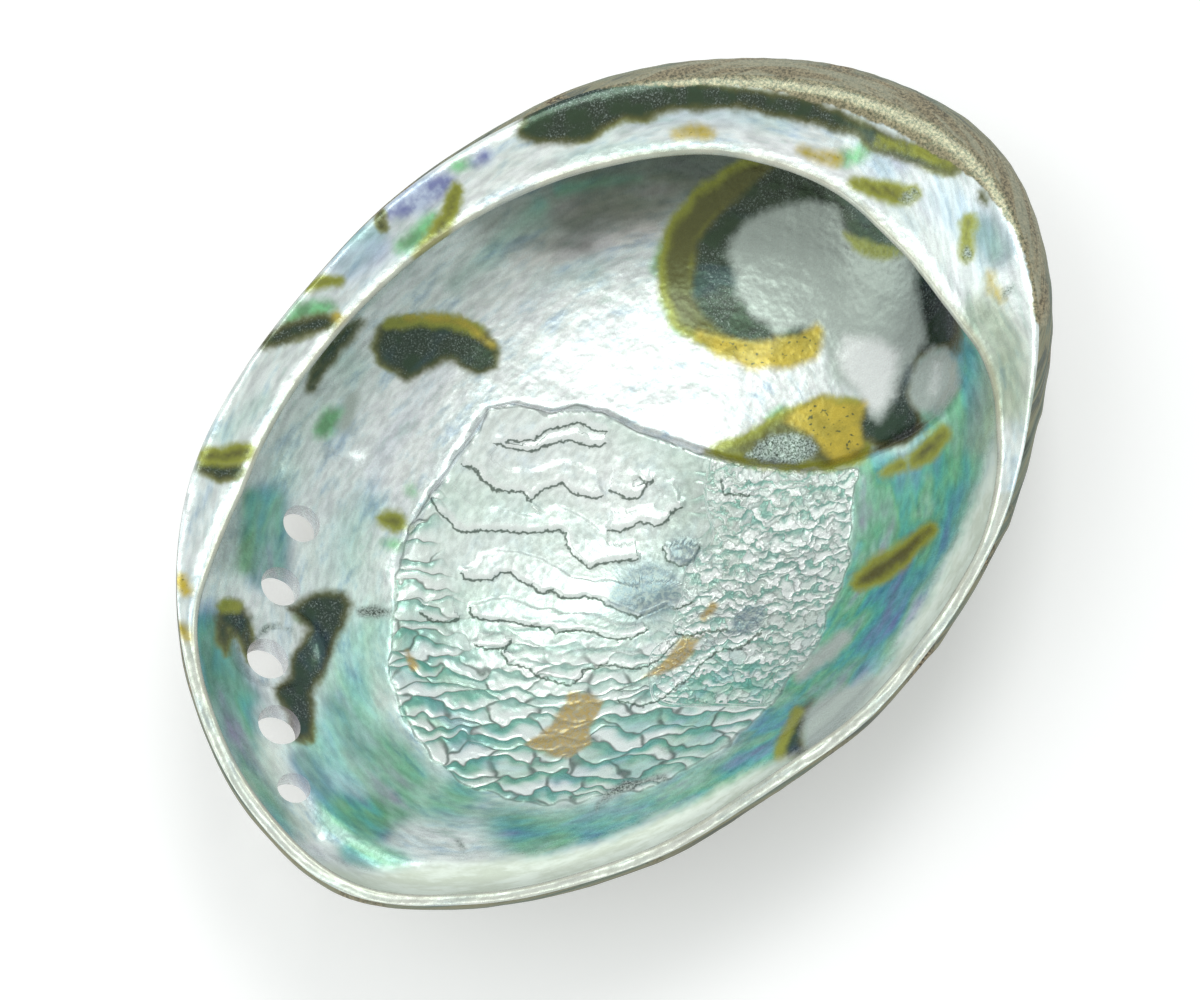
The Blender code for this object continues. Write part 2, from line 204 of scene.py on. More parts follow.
form = {
    "pole": (-10.8, -12.2),
    "restPoint": (10.0, 2.0),
    "restFlat": 0.55,
    "marginRadius": [79.1, 79.2, 76.1, 73.0, 68.8, 65.8, 63.8, 64.3, 66.0, 66.7, 67.0, 66.7,
                     64.5, 56.3, 48.8, 43.7, 40.0, 38.8, 39.9, 41.9, 45.8, 51.9, 59.7, 70.4],
    "spire": {"bearing": 15, "spread": 27, "bulge": 7.0},
    "marginHeight": [(0, 31.5), (30, 31.5), (60, 32.5), (90, 33), (120, 33.8), (180, 33.7),
                     (210, 33.2), (300, 33), (330, 32.4)],
    "plateWidth": [(0, 16.2), (5, 16), (12, 13.5), (20, 12), (30, 10.1), (45, 10.4), (60, 8.8),
                   (75, 7.8), (90, 6.6), (105, 6.8), (120, 7.3), (128, 5.6), (134, 3.7),
                   (138, 2.2), (145, 1.6), (312, 1.6), (325, 3), (335, 5.5), (342, 8.5),
                   (350, 13), (355, 15.4)],
    "edgeDrop": [(0, 5), (5, 5), (15, 4.3), (30, 3.3), (60, 2.9), (90, 3), (105, 2.8),
                 (120, 2.2), (134, 0.9), (145, 0.3), (312, 0.3), (325, 1.1), (335, 2.2),
                 (345, 4), (350, 4.8)],
    "overhang": [(0, 8), (5, 11), (12, 13.5), (30, 12.5), (45, 11), (60, 8), (75, 6.5), (90, 5),
                 (105, 5), (120, 4), (130, 1.5), (138, 0.3), (150, 0), (344, 0), (349, 1),
                 (354, 4)],
    "recessDrop": [(0, 7), (6, 8), (12, 9), (30, 10), (60, 11), (90, 11), (120, 8), (140, 3),
                   (150, 2), (344, 2), (350, 4)],
    "equatorDrop": [(0, 9), (60, 9), (100, 8.5), (130, 6), (150, 3), (170, 1.2), (310, 1.2),
                    (330, 3), (345, 7)],
    "edgeThickness": 1.2,
    "noseShift": 0.3,
    "lipDrop": 2.0,
    "lipStandout": 0.5,
    "plateStandout": 1.2,
    "floorHeight": 5.0,
    "hollowHeight": [(0, 6), (20, 4.7), (90, 4.7), (150, 5), (330, 5), (345, 6.3)],
    "wallMiddle": 2.6,
    "wallRim": 4.2,
    "steepness": {"lip": 0.90, "recess": 0.998},
    "power": {"lip": 2.0, "recess": 4.0, "back": 3.0},
    "recessShare": [(0, 1), (85, 1), (125, 0), (330, 0), (350, 1)],
    "scarReach": 0.56,           # share of the floor's radius that has the scar's close rows
    "wallEasing": 0.5,           # how softly the floor is lifted off the back
    "wallUntil": (0.86, 0.12),   # share of the radius where that ends, and over how much
    # how far the ceiling of the hollow rises over the edge, and its curve's two middle points
    "ceilingCurve": (0.12, 0.55, 0.6),
    "plateEasing": 1.15,
    "columns": 470,
    "rows": {"scar": 78, "floor": 44, "ceiling": 9, "nose": 6, "plate": 14, "side": 9, "back": 40},
}

hollowRidge = {
    "path": [(-64, 76), (-24, 28.6), (-14.3, 33.5), (-3.1, 35.6), (2.5, 36.4), (7.9, 37.2),
             (11.3, 34.9), (14, 30), (19.3, 23.9), (20.8, 17.4), (23.3, 10.9), (25.2, 4.9),
             (28.3, -0.5), (31.4, -6.1), (35, -9.4), (39.6, -13), (45, -16.4), (49.7, -18.1),
             (54.2, -17.6), (58.7, -14.6), (63, -12.5), (100, -12)],
    "width": 1.1,
    "startWidth": 11.0,
    "height": 0.7,
}

holes = {
    "places": [(-25.7, 45.3), (-35.5, 40.1), (-45.3, 33.5), (-51.8, 25.1), (-57.7, 16.8)],
    "diameters": [5.6, 6.0, 6.2, 6.2, 4.6],
    "slope": 16,                 # degrees between each hole's axis and straight down
    "flare": 1.98,               # how much the radius grows to the cutter's inner end
    "cutterDrop": 2.0,           # how far the cutter's middle lies under the floor
    "depth": 14.0,
    "sides": 40,
    "rings": 13,
    "rimRadius": 3.9,
    "rimHeight": 1.0,
    "rimWidth": 1.7,
}


def sizesAt(bearing):
    # every size of the meridians at these bearings
    margin = ringCurve(bearing, form["marginRadius"])
    marginHeight = around(bearing, form["marginHeight"], 8)
    edge = margin - around(bearing, form["plateWidth"], 2)
    spire = form["spire"]
    turned = np.mod(bearing - spire["bearing"] + 180, 360) - 180
    bulge = spire["bulge"] * np.exp(-0.5 * (turned / spire["spread"])**2)
    recessShare = around(bearing, form["recessShare"], 6)
    edgeHeight = marginHeight - around(bearing, form["edgeDrop"], 2)
    return {
        "margin": margin,
        "marginHeight": marginHeight,
        "edge": edge,
        "edgeHeight": edgeHeight,
        "recess": edge + around(bearing, form["overhang"], 2),
        "recessHeight": edgeHeight - around(bearing, form["recessDrop"], 2),
        "recessShare": recessShare,
        "equator": margin + mix(form["lipStandout"], form["plateStandout"], recessShare) + bulge,
        "equatorHeight": marginHeight - around(bearing, form["equatorDrop"], 6),
        "hollowHeight": around(bearing, form["hollowHeight"], 6),
    }


def backHeight(x, y):
    # height of the back under points in plan: the bowl profile along the ray from the rest point
    bearing = np.arange(0, 360, 3)
    sizes = sizesAt(bearing)
    rest = np.array(form["restPoint"]) - form["pole"]
    rimX = sizes["equator"] * np.cos(np.radians(bearing)) - rest[0]
    rimY = sizes["equator"] * np.sin(np.radians(bearing)) - rest[1]
    rimTurn = np.degrees(np.arctan2(rimY, rimX)) % 360
    turn = np.degrees(np.arctan2(y - rest[1], x - rest[0])) % 360
    reach = np.interp(turn, rimTurn, np.hypot(rimX, rimY), period=360)
    height = np.interp(turn, rimTurn, sizes["equatorHeight"], period=360)
    recessShare = np.interp(turn, rimTurn, sizes["recessShare"], period=360)
    share = np.hypot(x - rest[0], y - rest[1]) / reach
    steepness = mix(form["steepness"]["lip"], form["steepness"]["recess"], recessShare)
    power = mix(form["power"]["lip"], form["power"]["back"], recessShare)
    return height * rise(share, steepness, power), share


def floorHeight(radius, x, y, sizes):
    # the bowl's floor, stepping down over the ridge into the hollow, never nearer the back
    # than the wall's thickness
    steep, power = form["steepness"], form["power"]
    bowlShare = rise(radius / sizes["edge"], steep["lip"], power["lip"])
    bowl = mix(form["floorHeight"], sizes["edgeHeight"] - form["lipDrop"], bowlShare)
    hollowShare = rise(radius / sizes["recess"],
                       mix(steep["lip"], steep["recess"], sizes["recessShare"]),
                       mix(power["lip"], power["recess"], sizes["recessShare"]))
    hollow = mix(sizes["hollowHeight"], sizes["recessHeight"], hollowShare)
    gap, along, side = pathField(x, y, hollowRidge["path"])
    width = mix(hollowRidge["startWidth"], hollowRidge["width"], smooth((along - 0.4) / 1.6))
    inside = smooth(0.5 + gap * side / width / 2)
    bead = bell(gap, hollowRidge["width"]) * smooth((along - 1) / 3) * hollowRidge["height"]
    floor = mix(bowl, hollow, inside) + bead * (radius < sizes["recess"] - 1)
    back, share = backHeight(x, y)
    least = back + form["wallMiddle"] + (form["wallRim"] - form["wallMiddle"]) * share**2
    lifted = 0.5 * (floor + least + np.sqrt((floor - least)**2 + form["wallEasing"]))
    start, reach = form["wallUntil"]
    return mix(lifted, floor, smooth((radius / sizes["recess"] - start) / reach))


def meridianRows(bearing, sizes):
    # radius and height of every row from the pole to the widest line: the floor, a cubic curve
    # for the hollow's ceiling, a half circle for the free edge, an eased line for the plate and
    # a quarter ellipse for the outer side
    rows = form["rows"]
    turn = np.radians(bearing)
    near = np.linspace(0, form["scarReach"], rows["scar"], endpoint=False)
    share = np.concatenate([near, np.linspace(form["scarReach"], 1, rows["floor"])])[:, None]
    floorRadius = sizes["recess"] * share
    floor = floorHeight(floorRadius, floorRadius * np.cos(turn), floorRadius * np.sin(turn), sizes)

    u = np.linspace(0, 1, rows["ceiling"] + 1)[1:, None]
    endHeight = sizes["edgeHeight"] - form["edgeThickness"]
    far, nose = sizes["recess"], sizes["edge"] + form["noseShift"]
    lift, outer, upper = form["ceilingCurve"]
    over = endHeight + lift * (sizes["recess"] - sizes["edge"])
    ceilingRadius = (1 - u)**2 * (1 + 2 * u) * far + 3 * u**2 * (1 - u) * mix(nose, far, outer)
    ceilingRadius = ceilingRadius + u**3 * nose
    ceiling = (1 - u)**3 * floor[-1] + 3 * u * (1 - u)**2 * mix(floor[-1], endHeight, upper)
    ceiling = ceiling + 3 * u**2 * (1 - u) * over + u**3 * endHeight

    half = form["edgeThickness"] / 2
    lean = np.radians(np.linspace(-90, 90, rows["nose"] + 2)[1:-1, None])
    noseRadius = nose - half * np.cos(lean)
    noseHeight = sizes["edgeHeight"] - half + half * np.sin(lean)

    u = np.linspace(0, 1, rows["plate"])[:, None]
    plateRadius = mix(nose, sizes["margin"], u)
    plateHeight = mix(sizes["edgeHeight"], sizes["marginHeight"], smooth(u)**form["plateEasing"])

    lean = np.radians(np.linspace(0, 90, rows["side"] + 1)[1:, None])
    sideRadius = mix(sizes["margin"], sizes["equator"], np.sin(lean))
    sideHeight = mix(sizes["equatorHeight"], sizes["marginHeight"], np.cos(lean))
    radius = np.vstack([floorRadius, ceilingRadius, noseRadius, plateRadius, sideRadius])
    return radius, np.vstack([floor, ceiling, noseHeight, plateHeight, sideHeight])


def backRows(bearing, sizes):
    # the convex back, along straight rays in plan from the widest line to the rest point
    share = np.linspace(1, 0, form["rows"]["back"] + 1)[1:, None]
    turn = np.radians(bearing)
    rest = np.array(form["restPoint"]) - form["pole"]
    x = mix(rest[0], sizes["equator"] * np.cos(turn), share)
    y = mix(rest[1], sizes["equator"] * np.sin(turn), share)
    steepness = mix(form["steepness"]["lip"], form["steepness"]["recess"], sizes["recessShare"])
    power = mix(form["power"]["lip"], form["power"]["back"], sizes["recessShare"])
    return x, y, sizes["equatorHeight"] * rise(share, steepness, power)


def gridNormals(grid):                           # cross product of the steps down and across
    across = np.roll(grid, -1, axis=1) - np.roll(grid, 1, axis=1)
    normal = np.cross(np.gradient(grid, axis=0), across)
    return normal / np.maximum(np.linalg.norm(normal, axis=2, keepdims=True), 1e-9)


# Relief of the inside

scar = {
    # outline of the muscle scar in pixels, anticlockwise as seen from above
    "outline": [(517, 405), (490, 412), (470, 440), (450, 468), (430, 495), (412, 530),
                (400, 560), (394, 600), (391, 640), (392, 680), (400, 710), (415, 740),
                (440, 765), (470, 785), (505, 798), (545, 803), (590, 800), (630, 793),
                (670, 778), (705, 758), (740, 735), (775, 700), (800, 668), (820, 635),
                (836, 600), (846, 565), (851, 530), (852, 500), (858, 470), (830, 471),
                (800, 470), (760, 465), (720, 458), (680, 448), (640, 433), (603, 412),
                (575, 409), (548, 414)],
    # fronts of its terraces in pixels, each from left to right with the raised side above
    "fronts": [
        [(507, 440), (520, 440), (533, 439), (545, 430), (565, 425), (580, 421), (593, 429),
         (607, 431)],
        [(495, 442), (515, 449), (532, 451), (550, 443), (573, 439), (590, 446), (608, 443)],
        [(462, 464), (478, 470), (482, 478), (490, 484), (495, 490), (524, 491), (530, 501),
         (540, 490), (562, 482), (570, 490), (592, 498), (602, 496)],
        [(609, 490), (615, 491), (625, 498), (640, 496), (648, 482)],
        [(428, 492), (440, 512), (450, 520), (455, 528), (468, 532), (480, 530), (500, 530),
         (530, 532), (548, 531), (558, 528), (566, 533), (569, 548), (578, 558), (590, 567),
         (602, 562), (637, 558)],
        [(608, 529), (620, 531), (630, 527), (640, 521), (658, 525), (666, 521), (672, 510),
         (682, 506)],
        [(664, 548), (668, 560), (680, 565), (692, 560), (698, 548)],
        [(462, 571), (466, 579), (480, 579), (492, 579), (500, 572), (512, 573), (520, 580),
         (532, 585), (540, 592), (553, 590), (562, 597), (578, 597), (584, 594), (590, 598),
         (601, 598), (607, 604), (622, 610), (638, 616), (652, 611), (662, 606), (668, 603),
         (674, 608), (682, 606), (692, 602)],
        [(470, 606), (473, 616), (482, 619), (510, 621), (530, 625), (542, 628), (550, 626),
         (556, 632), (575, 630), (592, 631), (604, 636), (618, 639), (634, 636), (646, 630)],
        [(503, 653), (508, 662), (530, 668), (539, 676), (553, 680), (570, 684), (579, 678),
         (583, 669), (598, 667), (608, 663), (620, 666), (633, 668), (648, 665), (658, 658),
         (668, 648), (677, 640)],
        [(676, 632), (684, 635), (697, 633), (710, 630), (728, 629), (742, 628)],
        [(475, 644), (486, 648), (505, 648), (511, 640)],
        [(420, 612), (432, 620), (450, 621), (459, 618)],
        [(716, 652), (724, 648), (738, 648), (750, 640), (761, 631)],
        [(620, 700), (640, 705), (658, 700), (670, 691), (682, 682), (692, 674), (700, 663),
         (716, 652)],
        [(640, 476), (646, 484), (652, 480)],
        [(722, 478), (724, 492), (735, 494), (750, 494)],
        [(668, 604), (673, 608), (688, 604)],
    ],
    "frontHeight": 0.42,         # millimetres
    "frontReach": 26.0,          # pixels over which a terrace falls back to the floor
    "frontEdge": 2.2,            # pixels over which its front drops
    "outlineHeight": 0.09,
    "outlineWander": 3.5,        # pixels
    "outlineReach": 60.0,        # pixels over which the raised outline falls back inside
    "rippleHeight": 0.16,
    "rippleSpacing": 17.0,       # pixels between the small wavy terraces
    "rippleBends": [(20, 64, 3), (9, 21, 9)],    # height, size and seed of what bends them
    "rippleSag": (520, 0.0008),                  # the column they sag about, and how much
    # where ripples and crumple start: column, row, slope of the line and pixels to full share
    "ripplesBelow": (560, 600, 0.25, 70),
    "ripplesLeftOf": (450, 40),
    "crumpleRightOf": (655, 560, 0.30, 80),
    "crumpleAbove": (705, 70),
    "edgeSoftness": 5.0,         # pixels over which the scar's own relief starts
    "crumpleHeight": 0.30,
    "toothShape": (1.6, 0.14),   # power of a ripple's rise, and share of it that is the drop
    # size in pixels, seed and layers of the noises
    "outlineNoise": (17, 5, 2),
    "patchNoise": (60, 71, 2),
    "breakNoise": (34, 21),
    "lumpNoise": (19, 31, 3),
}

pits = {
    "places": [(-61.6, 9.2), (-12.0, 49.0)],     # sealed breathing holes, in plan
    "depth": 1.0,
    "radius": 2.6,
    "ringPlace": (-43.8, 33.4),                  # raised nacre ring round the third hole
    "ringRadius": 6.5,
    "ringHeight": 0.6,
    "ringWidth": 0.9,
    "lipPit": (462, 847),                        # small sealed pit near the lip, in pixels
    "lipPitRadius": 9,
    "lipPitDepth": 0.7,
}


uneven = {
    # height in millimetres, size and seed of the slow unevenness of each part
    "floor": (0.16, 11, 41),
    "plate": (0.14, 7, 61),
    "back": (0.12, 3.2, 51),
}


def unevenness(part, x, y):                      # two layers of noise times their height
    height, size, seed = uneven[part]
    return height * layeredNoise(x, y, size, seed, 2)


def frontField(px, py):
    # signed distance in pixels to the nearest terrace front, positive on its raised side
    signed = np.full(px.shape, 60.0)
    nearest = np.full(px.shape, 60.0)
    for front in scar["fronts"]:
        gap, along, side = pathField(px, py, front)
        ends = (along > 0.02) & (along < len(front) - 1.02)
        closer = (gap < nearest) & (ends | (gap < 3))
        nearest = np.where(closer, gap, nearest)
        signed = np.where(closer, -gap * side, signed)   # pixels run down, so left is below
    return signed


def scarField(px, py):
    # signed distance in pixels to the scar's wandering outline, positive inside it
    wander = scar["outlineWander"] * layeredNoise(px, py, *scar["outlineNoise"])
    return outlineField(px, py, scar["outline"]) + wander


def ripplePhase(px, py):
    # wavy terraces: pixels down the scar plus noise, over their spacing
    bend = sum(height * layeredNoise(px, py, size, seed)
               for height, size, seed in scar["rippleBends"])
    column, sag = scar["rippleSag"]
    return (py - sag * (px - column) * np.abs(px - column) + bend) / scar["rippleSpacing"]


def scarShares(px, py):
    # where the fine ripples and the crumpled crust lie, each from 0 to 1
    patches = layeredNoise(px, py, *scar["patchNoise"])
    column, row, slope, reach = scar["ripplesBelow"]
    low = smooth((py - row - slope * (px - column)) / reach + 0.5 * patches)
    column, reach = scar["ripplesLeftOf"]
    leftEdge = smooth((column - px) / reach + 0.4 * patches)
    column, row, slope, reach = scar["crumpleRightOf"]
    crumple = smooth((px - column + slope * (py - row)) / reach + 0.3 * patches)
    row, reach = scar["crumpleAbove"]
    crumple = crumple * smooth((row - py) / reach + 0.5)
    return np.clip(low + leftEdge + crumple, 0, 1), crumple


def innerRelief(grid, x, y, rowsUsed):
    # height laid on along the normals of the floor: scar outline, fronts, ripples, crumple,
    # pits, the ring round the third hole and a slow unevenness
    px, py = toPixels(grid[:rowsUsed].reshape(-1, 3))
    px, py = px.reshape(x.shape), py.reshape(x.shape)
    inside = scarField(px, py)
    signed = frontField(px, py)
    mask = smooth(0.5 + inside / scar["edgeSoftness"])
    relief = scar["outlineHeight"] * mask * np.exp(-np.maximum(inside, 0) / scar["outlineReach"])
    step = smooth(0.5 + signed / scar["frontEdge"] / 2)
    relief += scar["frontHeight"] * step * np.exp(-np.abs(signed) / scar["frontReach"]) * mask
    ripples, crumple = scarShares(px, py)
    saw = np.mod(ripplePhase(px, py), 1)
    broken = smooth(0.6 + layeredNoise(px, py, *scar["breakNoise"]))
    power, drop = scar["toothShape"]
    tooth = saw**power * smooth((1 - saw) / drop)
    relief += scar["rippleHeight"] * tooth * broken * ripples * mask
    lumps = 1 - np.abs(layeredNoise(px, py, *scar["lumpNoise"]))
    relief += scar["crumpleHeight"] * (lumps**2 - 0.4) * crumple * mask
    for place in pits["places"]:
        relief -= pits["depth"] * bell(np.hypot(x - place[0], y - place[1]), pits["radius"])
    ring = np.hypot(x - pits["ringPlace"][0], y - pits["ringPlace"][1]) - pits["ringRadius"]
    relief += pits["ringHeight"] * bell(ring, pits["ringWidth"])
    fromPit = np.hypot(px - pits["lipPit"][0], py - pits["lipPit"][1])
    relief -= pits["lipPitDepth"] * bell(fromPit, pits["lipPitRadius"])
    relief += unevenness("floor", x, y) * (1 - mask)
    return relief


# Relief of the back

back = {
    "apex": (58.0, 20.0),
    "rowPath": [(-63, 4), (-57.7, 16.8), (-51.8, 25.1), (-45.3, 33.5), (-35.5, 40.1),
                (-25.7, 45.3), (-12, 50), (2, 52.5), (16, 53.5), (30, 52), (43, 47.5),
                (54, 40.5), (62, 31), (64, 22), (58, 20)],
    "rowHeight": 1.3,
    "rowWidth": 3.6,
    "knobSpacings": 12,
    "knobHeight": 1.4,
    "knobWidth": 2.2,
    "sutureDepth": 0.9,
    "sutureWidth": 1.3,
    "sutureRadius": 21.0,
    "sutureGrowth": 0.16,
    "spireHeight": 1.6,
    "spireRadius": 9.0,
    "ledgeCount": 11,
    "ledgeHeight": 0.8,
    "ledgeStart": (12, 10),      # distance from the apex where the ledges start, and over how much
    "cordHeight": 0.25,
    "cordCount": 46,
}


def outerRelief(x, y, equator):
    # hole row, knobs of the sealed holes, rims, coiled suture, spire, growth ledges, low cords
    path = back["rowPath"]
    gap, along, side = pathField(x, y, path)
    fade = smooth(along / 1.5) * smooth((len(path) - 1 - along) / 2)
    relief = back["rowHeight"] * bell(gap, back["rowWidth"]) * fade
    older = smooth(along - len(holes["places"]) - 0.3)
    knob = 0.5 + 0.5 * np.cos(2 * np.pi * along * back["knobSpacings"] / (len(path) - 1))
    relief += back["knobHeight"] * older * knob**2 * bell(gap, back["knobWidth"]) * fade
    for place in holes["places"]:
        rim = np.hypot(x - place[0], y - place[1]) - holes["rimRadius"]
        relief += holes["rimHeight"] * bell(rim, holes["rimWidth"])
    outX, outY = x - back["apex"][0], y - back["apex"][1]
    reach = np.hypot(outX, outY)
    turn = np.arctan2(outY, outX)
    growth = back["sutureGrowth"]
    coil = np.log(np.maximum(reach, 0.1) / back["sutureRadius"]) / growth / (2 * np.pi)
    phase = np.mod(coil - turn / (2 * np.pi) + 0.5, 1) - 0.5
    suture = phase * 2 * np.pi * growth * reach
    coiled = smooth((back["sutureRadius"] - reach) / 4) * smooth(reach / 3)
    relief -= back["sutureDepth"] * bell(suture, back["sutureWidth"]) * coiled
    relief += back["spireHeight"] * bell(reach, back["spireRadius"])
    stage = reach / (reach + equator) * back["ledgeCount"]
    ledge = np.mod(stage, 1)
    start, fullAfter = back["ledgeStart"]
    away = smooth((reach - start) / fullAfter)
    relief += back["ledgeHeight"] * ledge**3 * smooth((1 - ledge) * 8) * away
    cords = np.cos(turn * back["cordCount"] + 0.5 * np.sin(turn * 9))
    relief += back["cordHeight"] * cords * away * (1 - stage / back["ledgeCount"])
    return relief + unevenness("back", x, y)


# Building the mesh


def shellGrid():
    # all meridians as a grid of points in millimetres, with the relief along the normals
    columns, rows = form["columns"], form["rows"]
    bearing = np.arange(columns) * 360 / columns
    turn = np.radians(bearing)
    sizes = sizesAt(bearing)
    radius, height = meridianRows(bearing, sizes)
    backX, backY, backZ = backRows(bearing, sizes)
    x = np.vstack([radius * np.cos(turn), backX])
    y = np.vstack([radius * np.sin(turn), backY])
    grid = np.dstack([x, y, np.vstack([height, backZ])])
    normals = gridNormals(grid)
    floorRows = rows["scar"] + rows["floor"]
    firstOuter = len(x) - rows["side"] - rows["back"]
    relief = np.zeros(x.shape)
    placed = grid + np.array([*form["pole"], -form["restFlat"]])
    relief[:floorRows] = innerRelief(placed, x[:floorRows], y[:floorRows], floorRows)
    relief[:3] = relief[:3].mean()
    relief[floorRows - 4:floorRows] *= np.array([0.8, 0.5, 0.2, 0.0])[:, None]
    plateFirst = firstOuter - rows["plate"]
    swell = np.sin(np.linspace(0, np.pi, rows["plate"]))[:, None]
    onPlate = slice(plateFirst, firstOuter)
    relief[onPlate] = unevenness("plate", x[onPlate], y[onPlate]) * swell
    outer = outerRelief(x[firstOuter:], y[firstOuter:], sizes["equator"])
    settle = smooth(np.arange(rows["side"] + rows["back"]) / rows["side"] / 2)[:, None]
    relief[firstOuter:] = outer * settle * smooth((grid[firstOuter:, :, 2] - 1.2) / 2)
    grid = grid + normals * relief[:, :, None]
    grid[firstOuter:, :, 2] = np.maximum(grid[firstOuter:, :, 2] - form["restFlat"], 0)
    grid[:firstOuter, :, 2] -= form["restFlat"]
    section = np.zeros(x.shape)                  # 0 inside, 1 plate, 2 back
    section[floorRows + rows["ceiling"] + 2:firstOuter] = 1
    section[firstOuter:] = 2
    nose = np.zeros(x.shape)
    nose[floorRows + rows["ceiling"]:plateFirst + 1] = 1
    return grid + np.array([*form["pole"], 0]), section, nose


def meshFrom(name, points, faces, values):
    # a mesh from arrays, with each value array kept as a number on its points
    mesh = bpy.data.meshes.new(name)
    mesh.from_pydata(points.tolist(), [], faces)
    for key, array in values.items():
        storeNumber(mesh, key, array)
    mesh.update()
    return mesh


def closedGrid(name, grid, values):
    # quads between the rows, and a fan of triangles at each pole
    rows, columns = grid.shape[:2]
    points = np.vstack([grid[1:-1].reshape(-1, 3), grid[0].mean(axis=0), grid[-1].mean(axis=0)])
    index = np.arange((rows - 2) * columns).reshape(rows - 2, columns)
    after = np.roll(index, -1, axis=1)
    quads = np.stack([index[:-1], index[1:], after[1:], after[:-1]], axis=2).reshape(-1, 4)
    inner, outer = len(points) - 2, len(points) - 1
    faces = quads.tolist()
    faces += [(inner, a, b) for a, b in zip(index[0].tolist(), after[0].tolist())]
    faces += [(outer, b, a) for a, b in zip(index[-1].tolist(), after[-1].tolist())]
    kept = {key: np.append(array[1:-1].ravel(), [array[0, 0], array[-1, 0]])
            for key, array in values.items()}
    return meshFrom(name, points, faces, kept)


def fitToBox(grid):
    # scales the points about the box's middle so that they end just inside the CAD model's box
    low, high = (np.array(corner) / mm for corner in cadBox)
    own = grid.reshape(-1, 3)
    spare = 0.02
    for axis in range(3):
        near, far = own[:, axis].min(), own[:, axis].max()
        start = 0.0 if axis == 2 else low[axis] + spare
        end = high[axis] - spare
        grid[:, :, axis] = mix(start, end, (grid[:, :, axis] - near) / (far - near))
    return grid


def cutHoles(shell):
    # Boolean cut of each breathing hole, straight outside and flared inside: the cutter's radius
    # is half the diameter, plus the flare times the square of how far the ring is up its inner half
    turn = np.linspace(0, 2 * np.pi, holes["sides"], endpoint=False)
    level = np.linspace(-1, 1, holes["rings"])[:, None]
    for place, diameter in zip(holes["places"], holes["diameters"]):
        bearing = np.degrees(np.arctan2(place[1], place[0]))
        radius = np.hypot(*place)
        sizes = sizesAt(np.array([bearing]))
        height = floorHeight(np.array([radius]), place[0], place[1], sizes)[0]
        height = height - holes["cutterDrop"]
        outward = np.array([place[0], place[1], 0]) / radius
        slope = math.radians(holes["slope"])
        axis = outward * math.sin(slope) - np.array([0, 0, math.cos(slope)])
        sideways = np.array([-outward[1], outward[0], 0])
        third = np.cross(sideways, axis)
        wide = diameter / 2 + holes["flare"] * np.clip(-level, 0, 1)**2
        reach = level * holes["depth"] / 2
        centre = np.array([form["pole"][0] + place[0], form["pole"][1] + place[1], height])
        ring = (sideways * np.cos(turn)[:, None] + third * np.sin(turn)[:, None])
        grid = centre + axis * reach[:, :, None] + wide[:, :, None] * ring[None]
        grid = np.concatenate([grid[:1] * 0 + grid[0].mean(axis=0), grid,
                               grid[:1] * 0 + grid[-1].mean(axis=0)])
        mesh = closedGrid("holeCutter", grid * mm, {"section": np.zeros(grid.shape[:2])})
        cutter = placeObject("holeCutter", mesh)
        cut = shell.modifiers.new("hole", "BOOLEAN")
        cut.operation = "DIFFERENCE"
        cut.solver = "EXACT"
        cut.object = cutter
        cutter.hide_render = True
        cutter.display_type = "WIRE"
    bpy.context.view_layer.update()
    evaluated = shell.evaluated_get(bpy.context.evaluated_depsgraph_get())
    whole = bpy.data.meshes.new_from_object(evaluated)
    cutters = [each.object for each in shell.modifiers]
    shell.modifiers.clear()
    shell.data = whole
    for cutter in cutters:
        bpy.data.objects.remove(cutter, do_unlink=True)


def buildShell():
    # the grid as a closed mesh with its holes cut, smooth but for edges over 50 degrees
    grid, section, nose = shellGrid()
    mesh = closedGrid("abaloneShell", fitToBox(grid) * mm, {"section": section, "nose": nose})
    shell = placeObject("abaloneShell", mesh)
    cutHoles(shell)
    shell.data.shade_smooth()
    shell.data.set_sharp_from_angle(angle=math.radians(50))
    print("stage: shell built,", len(shell.data.vertices), "points")
    return shell


shell = buildShell()


# Colours and markings

palette = {
    "white": (0.94, 0.95, 0.95),
    "silver": (0.83, 0.88, 0.87),
    "mint": (0.80, 0.93, 0.86),
    "aqua": (0.38, 0.64, 0.58),
    "teal": (0.07, 0.34, 0.27),
    "deepTeal": (0.03, 0.21, 0.17),
    "green": (0.10, 0.30, 0.11),
    "steel": (0.08, 0.19, 0.38),
    "violet": (0.15, 0.16, 0.42),
    "lavender": (0.52, 0.60, 0.80),
    "pink": (0.72, 0.58, 0.58),
    "wine": (0.10, 0.055, 0.05),
    # painted shade: the brownish dark under the plate's overhang
    "overhangShade": (0.070, 0.058, 0.042),
    "grey": (0.42, 0.49, 0.46),
    "paleGrey": (0.44, 0.49, 0.46),
    "cream": (0.78, 0.84, 0.77),
    "beige": (0.42, 0.38, 0.24),
    "gold": (0.58, 0.43, 0.04),
    "amber": (0.42, 0.32, 0.03),
    "yellowGreen": (0.30, 0.31, 0.035),
    "olive": (0.115, 0.10, 0.022),
    "brown": (0.035, 0.024, 0.008),
    "charcoal": (0.020, 0.022, 0.018),
    "darkGreen": (0.022, 0.036, 0.018),
    "ochre": (0.50, 0.34, 0.10),
    # painted shade in the scar's creases: feet of its fronts, troughs between lumps and its
    # outline's step
    "crack": (0.055, 0.075, 0.065),
    "slate": (0.20, 0.27, 0.32),
    "lagoon": (0.46, 0.90, 0.76),
    "fern": (0.20, 0.62, 0.26),
    "stone": (0.46, 0.50, 0.38),
    "tan": (0.42, 0.35, 0.22),
    "crust": (0.09, 0.08, 0.05),
}

